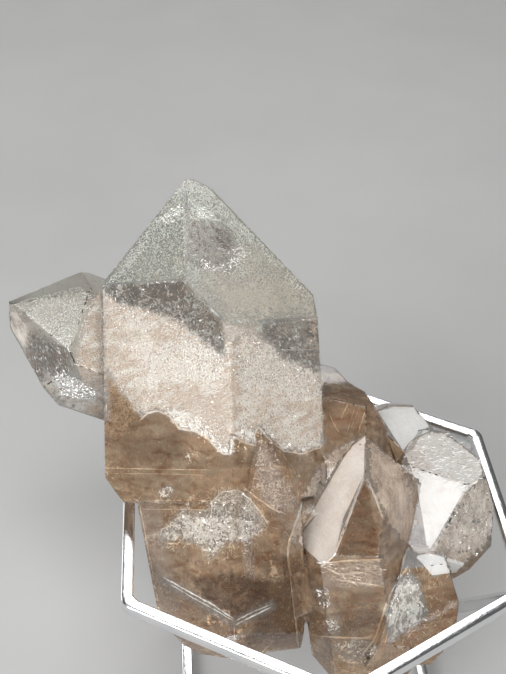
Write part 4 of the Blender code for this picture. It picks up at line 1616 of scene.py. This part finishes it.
def ring_corner(k, radius):
    angle = RING_TURN + math.tau / SIDES * k
    return Vector((radius * math.cos(angle), radius * math.sin(angle), 0))


def ring_path(radius):
    """A hexagon with its corners turned on a small radius, in millimetres, and its swelling."""
    path = []
    swell = []
    for k in range(SIDES):
        corner = ring_corner(k, radius)
        start = (ring_corner(k - 1, radius) - corner).normalized()
        end = (ring_corner(k + 1, radius) - corner).normalized()
        for step in range(BEND_STEPS + 1):
            t = step / BEND_STEPS
            a = corner + start * BEND * (1 - t)
            b = corner + end * BEND * t
            path.append(a.lerp(b, t))
            swell.append(1 + BEND_SWELL * math.sin(math.pi * t))
        for t in STRAIGHT:
            path.append((corner + end * BEND).lerp(ring_corner(k + 1, radius) - end * BEND, t))
            swell.append(1.0)
    return path, swell


def bar(name, path, closed, swell, up, chrome, replaced):
    """A chrome bar along a path, in place of the CAD nodes that it replaces."""
    points, faces = sweep(path, section(BAR, BAR_ROUNDING), closed, up, swell)
    made = piece(name, points, faces, chrome)
    made.data.shade_smooth()
    made.data.set_sharp_from_angle(angle=BAR_SHARP)
    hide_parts(*replaced)


def hoop(label, radius, middle, chrome):
    path, swell = ring_path(radius)
    path = [p + middle for p in path]
    replaced = [f"{label}_bar_{side}" for side in SIDE_NAMES]
    bar(f"{label}_frame", path, True, swell, Vector((0, 0, 1)), chrome, replaced)


def strut(name, corner, place, ring, foot, chrome):
    """A strut from a corner of the top ring to a place on the foot ring, counted in corners."""
    start = math.floor(place)
    top = ring_corner(corner, RING_RADIUS) + ring - Vector((0, 0, BAR / 2 - LAP))
    low = ring_corner(start, FOOT_RADIUS).lerp(ring_corner(start + 1, FOOT_RADIUS), place - start)
    low += foot + Vector((0, 0, BAR / 2 - LAP))
    path = [top.lerp(low, t) for t in STRUT_SWELL]
    base = Vector((ring.x, ring.y, 0))
    up = (top - base).cross(top - low)
    bar(f"{name}_strut", path, False, [*STRUT_SWELL.values()], up, chrome, [f"strut_{name}"])


def stand():
    chrome = chrome_material()
    ring = RING_CENTRE / MM
    foot = Vector((ring.x, ring.y, BAR / 2))
    hoop("ring", RING_RADIUS, ring, chrome)
    hoop("foot", FOOT_RADIUS, foot, chrome)
    for name, (corner, place) in STRUTS.items():
        strut(name, corner, place, ring, foot, chrome)


# Floor, light and camera, in metres

FLOOR_RADIUS = 3.2
FLOOR_SIDES = 96

# The point that the lights turn to
AIM = Vector((0, 0, 0.08))

# Each softbox's azimuth and elevation in degrees, its distance, width and height, and its power in
# watts. Azimuth 0 is the camera's side and 90 its right
SOFTBOXES = {
    "top_softbox": (8, 76, 0.9, 0.42, 0.40, 4.2),
    "back_softbox": (180, 45, 1.0, 0.5, 0.6, 4.5),
    "left_softbox": (-44, 31, 1.0, 0.6, 0.55, 12),
    "rear_left_softbox": (-120, 13, 1.0, 0.36, 0.36, 1.8),
    "front_softbox": (24, 16, 1.2, 0.9, 0.52, 14),
}
WORLD_COLOUR = (0.66, 0.65, 0.64, 1)
WORLD_STRENGTH = 0.18


def floor():
    g = Graph("pale_floor")
    material = g.finish(
        Base_Color=g.mix(g.noise(0.02, detail=2), rgb(153, 153, 153), rgb(160, 160, 159)),
        Roughness=0.6,
        Specular_IOR_Level=0.15,
    )
    bm = bmesh.new()
    bmesh.ops.create_circle(bm, cap_ends=True, segments=FLOOR_SIDES, radius=FLOOR_RADIUS)
    mesh = bpy.data.meshes.new("pale_floor")
    bm.to_mesh(mesh)
    bm.free()
    mesh.materials.append(material)
    made = bpy.data.objects.new("pale_floor", mesh)
    bpy.context.scene.collection.objects.link(made)


def softbox(name, azimuth, elevation, distance, width, height, power):
    turn = math.radians(azimuth)
    rise = math.radians(elevation)
    level = Vector((math.sin(turn), -math.cos(turn), 0))
    away = level * math.cos(rise) + Vector((0, 0, math.sin(rise)))
    lamp = bpy.data.lights.new(name, "AREA")
    lamp.shape = "RECTANGLE"
    lamp.size = width
    lamp.size_y = height
    lamp.energy = power
    made = bpy.data.objects.new(name, lamp)
    made.location = AIM + away * distance
    made.rotation_mode = "QUATERNION"
    made.rotation_quaternion = away.to_track_quat("Z", "Y")
    bpy.context.scene.collection.objects.link(made)


def light():
    for name, settings in SOFTBOXES.items():
        softbox(name, *settings)
    world = bpy.data.worlds.new("studio")
    world.use_nodes = True
    background = world.node_tree.nodes["Background"]
    background.inputs["Color"].default_value = WORLD_COLOUR
    background.inputs["Strength"].default_value = WORLD_STRENGTH
    bpy.context.scene.world = world
    bpy.context.scene.view_settings.view_transform = "Standard"


def camera():
    data = bpy.data.cameras.new("camera")
    data.lens = LENS
    data.sensor_width = SENSOR
    data.sensor_fit = "AUTO"
    made = bpy.data.objects.new("camera", data)
    bpy.context.scene.collection.objects.link(made)
    made.matrix_world = (
        LEAN @ Matrix.Translation(CAMERA_PLACE * MM) @ Matrix.Rotation(math.pi / 2, 4, "X")
    )
    bpy.context.scene.camera = made


body = Cluster()
cluster(body)
inclusions(body)
stand()
floor()
light()
camera()
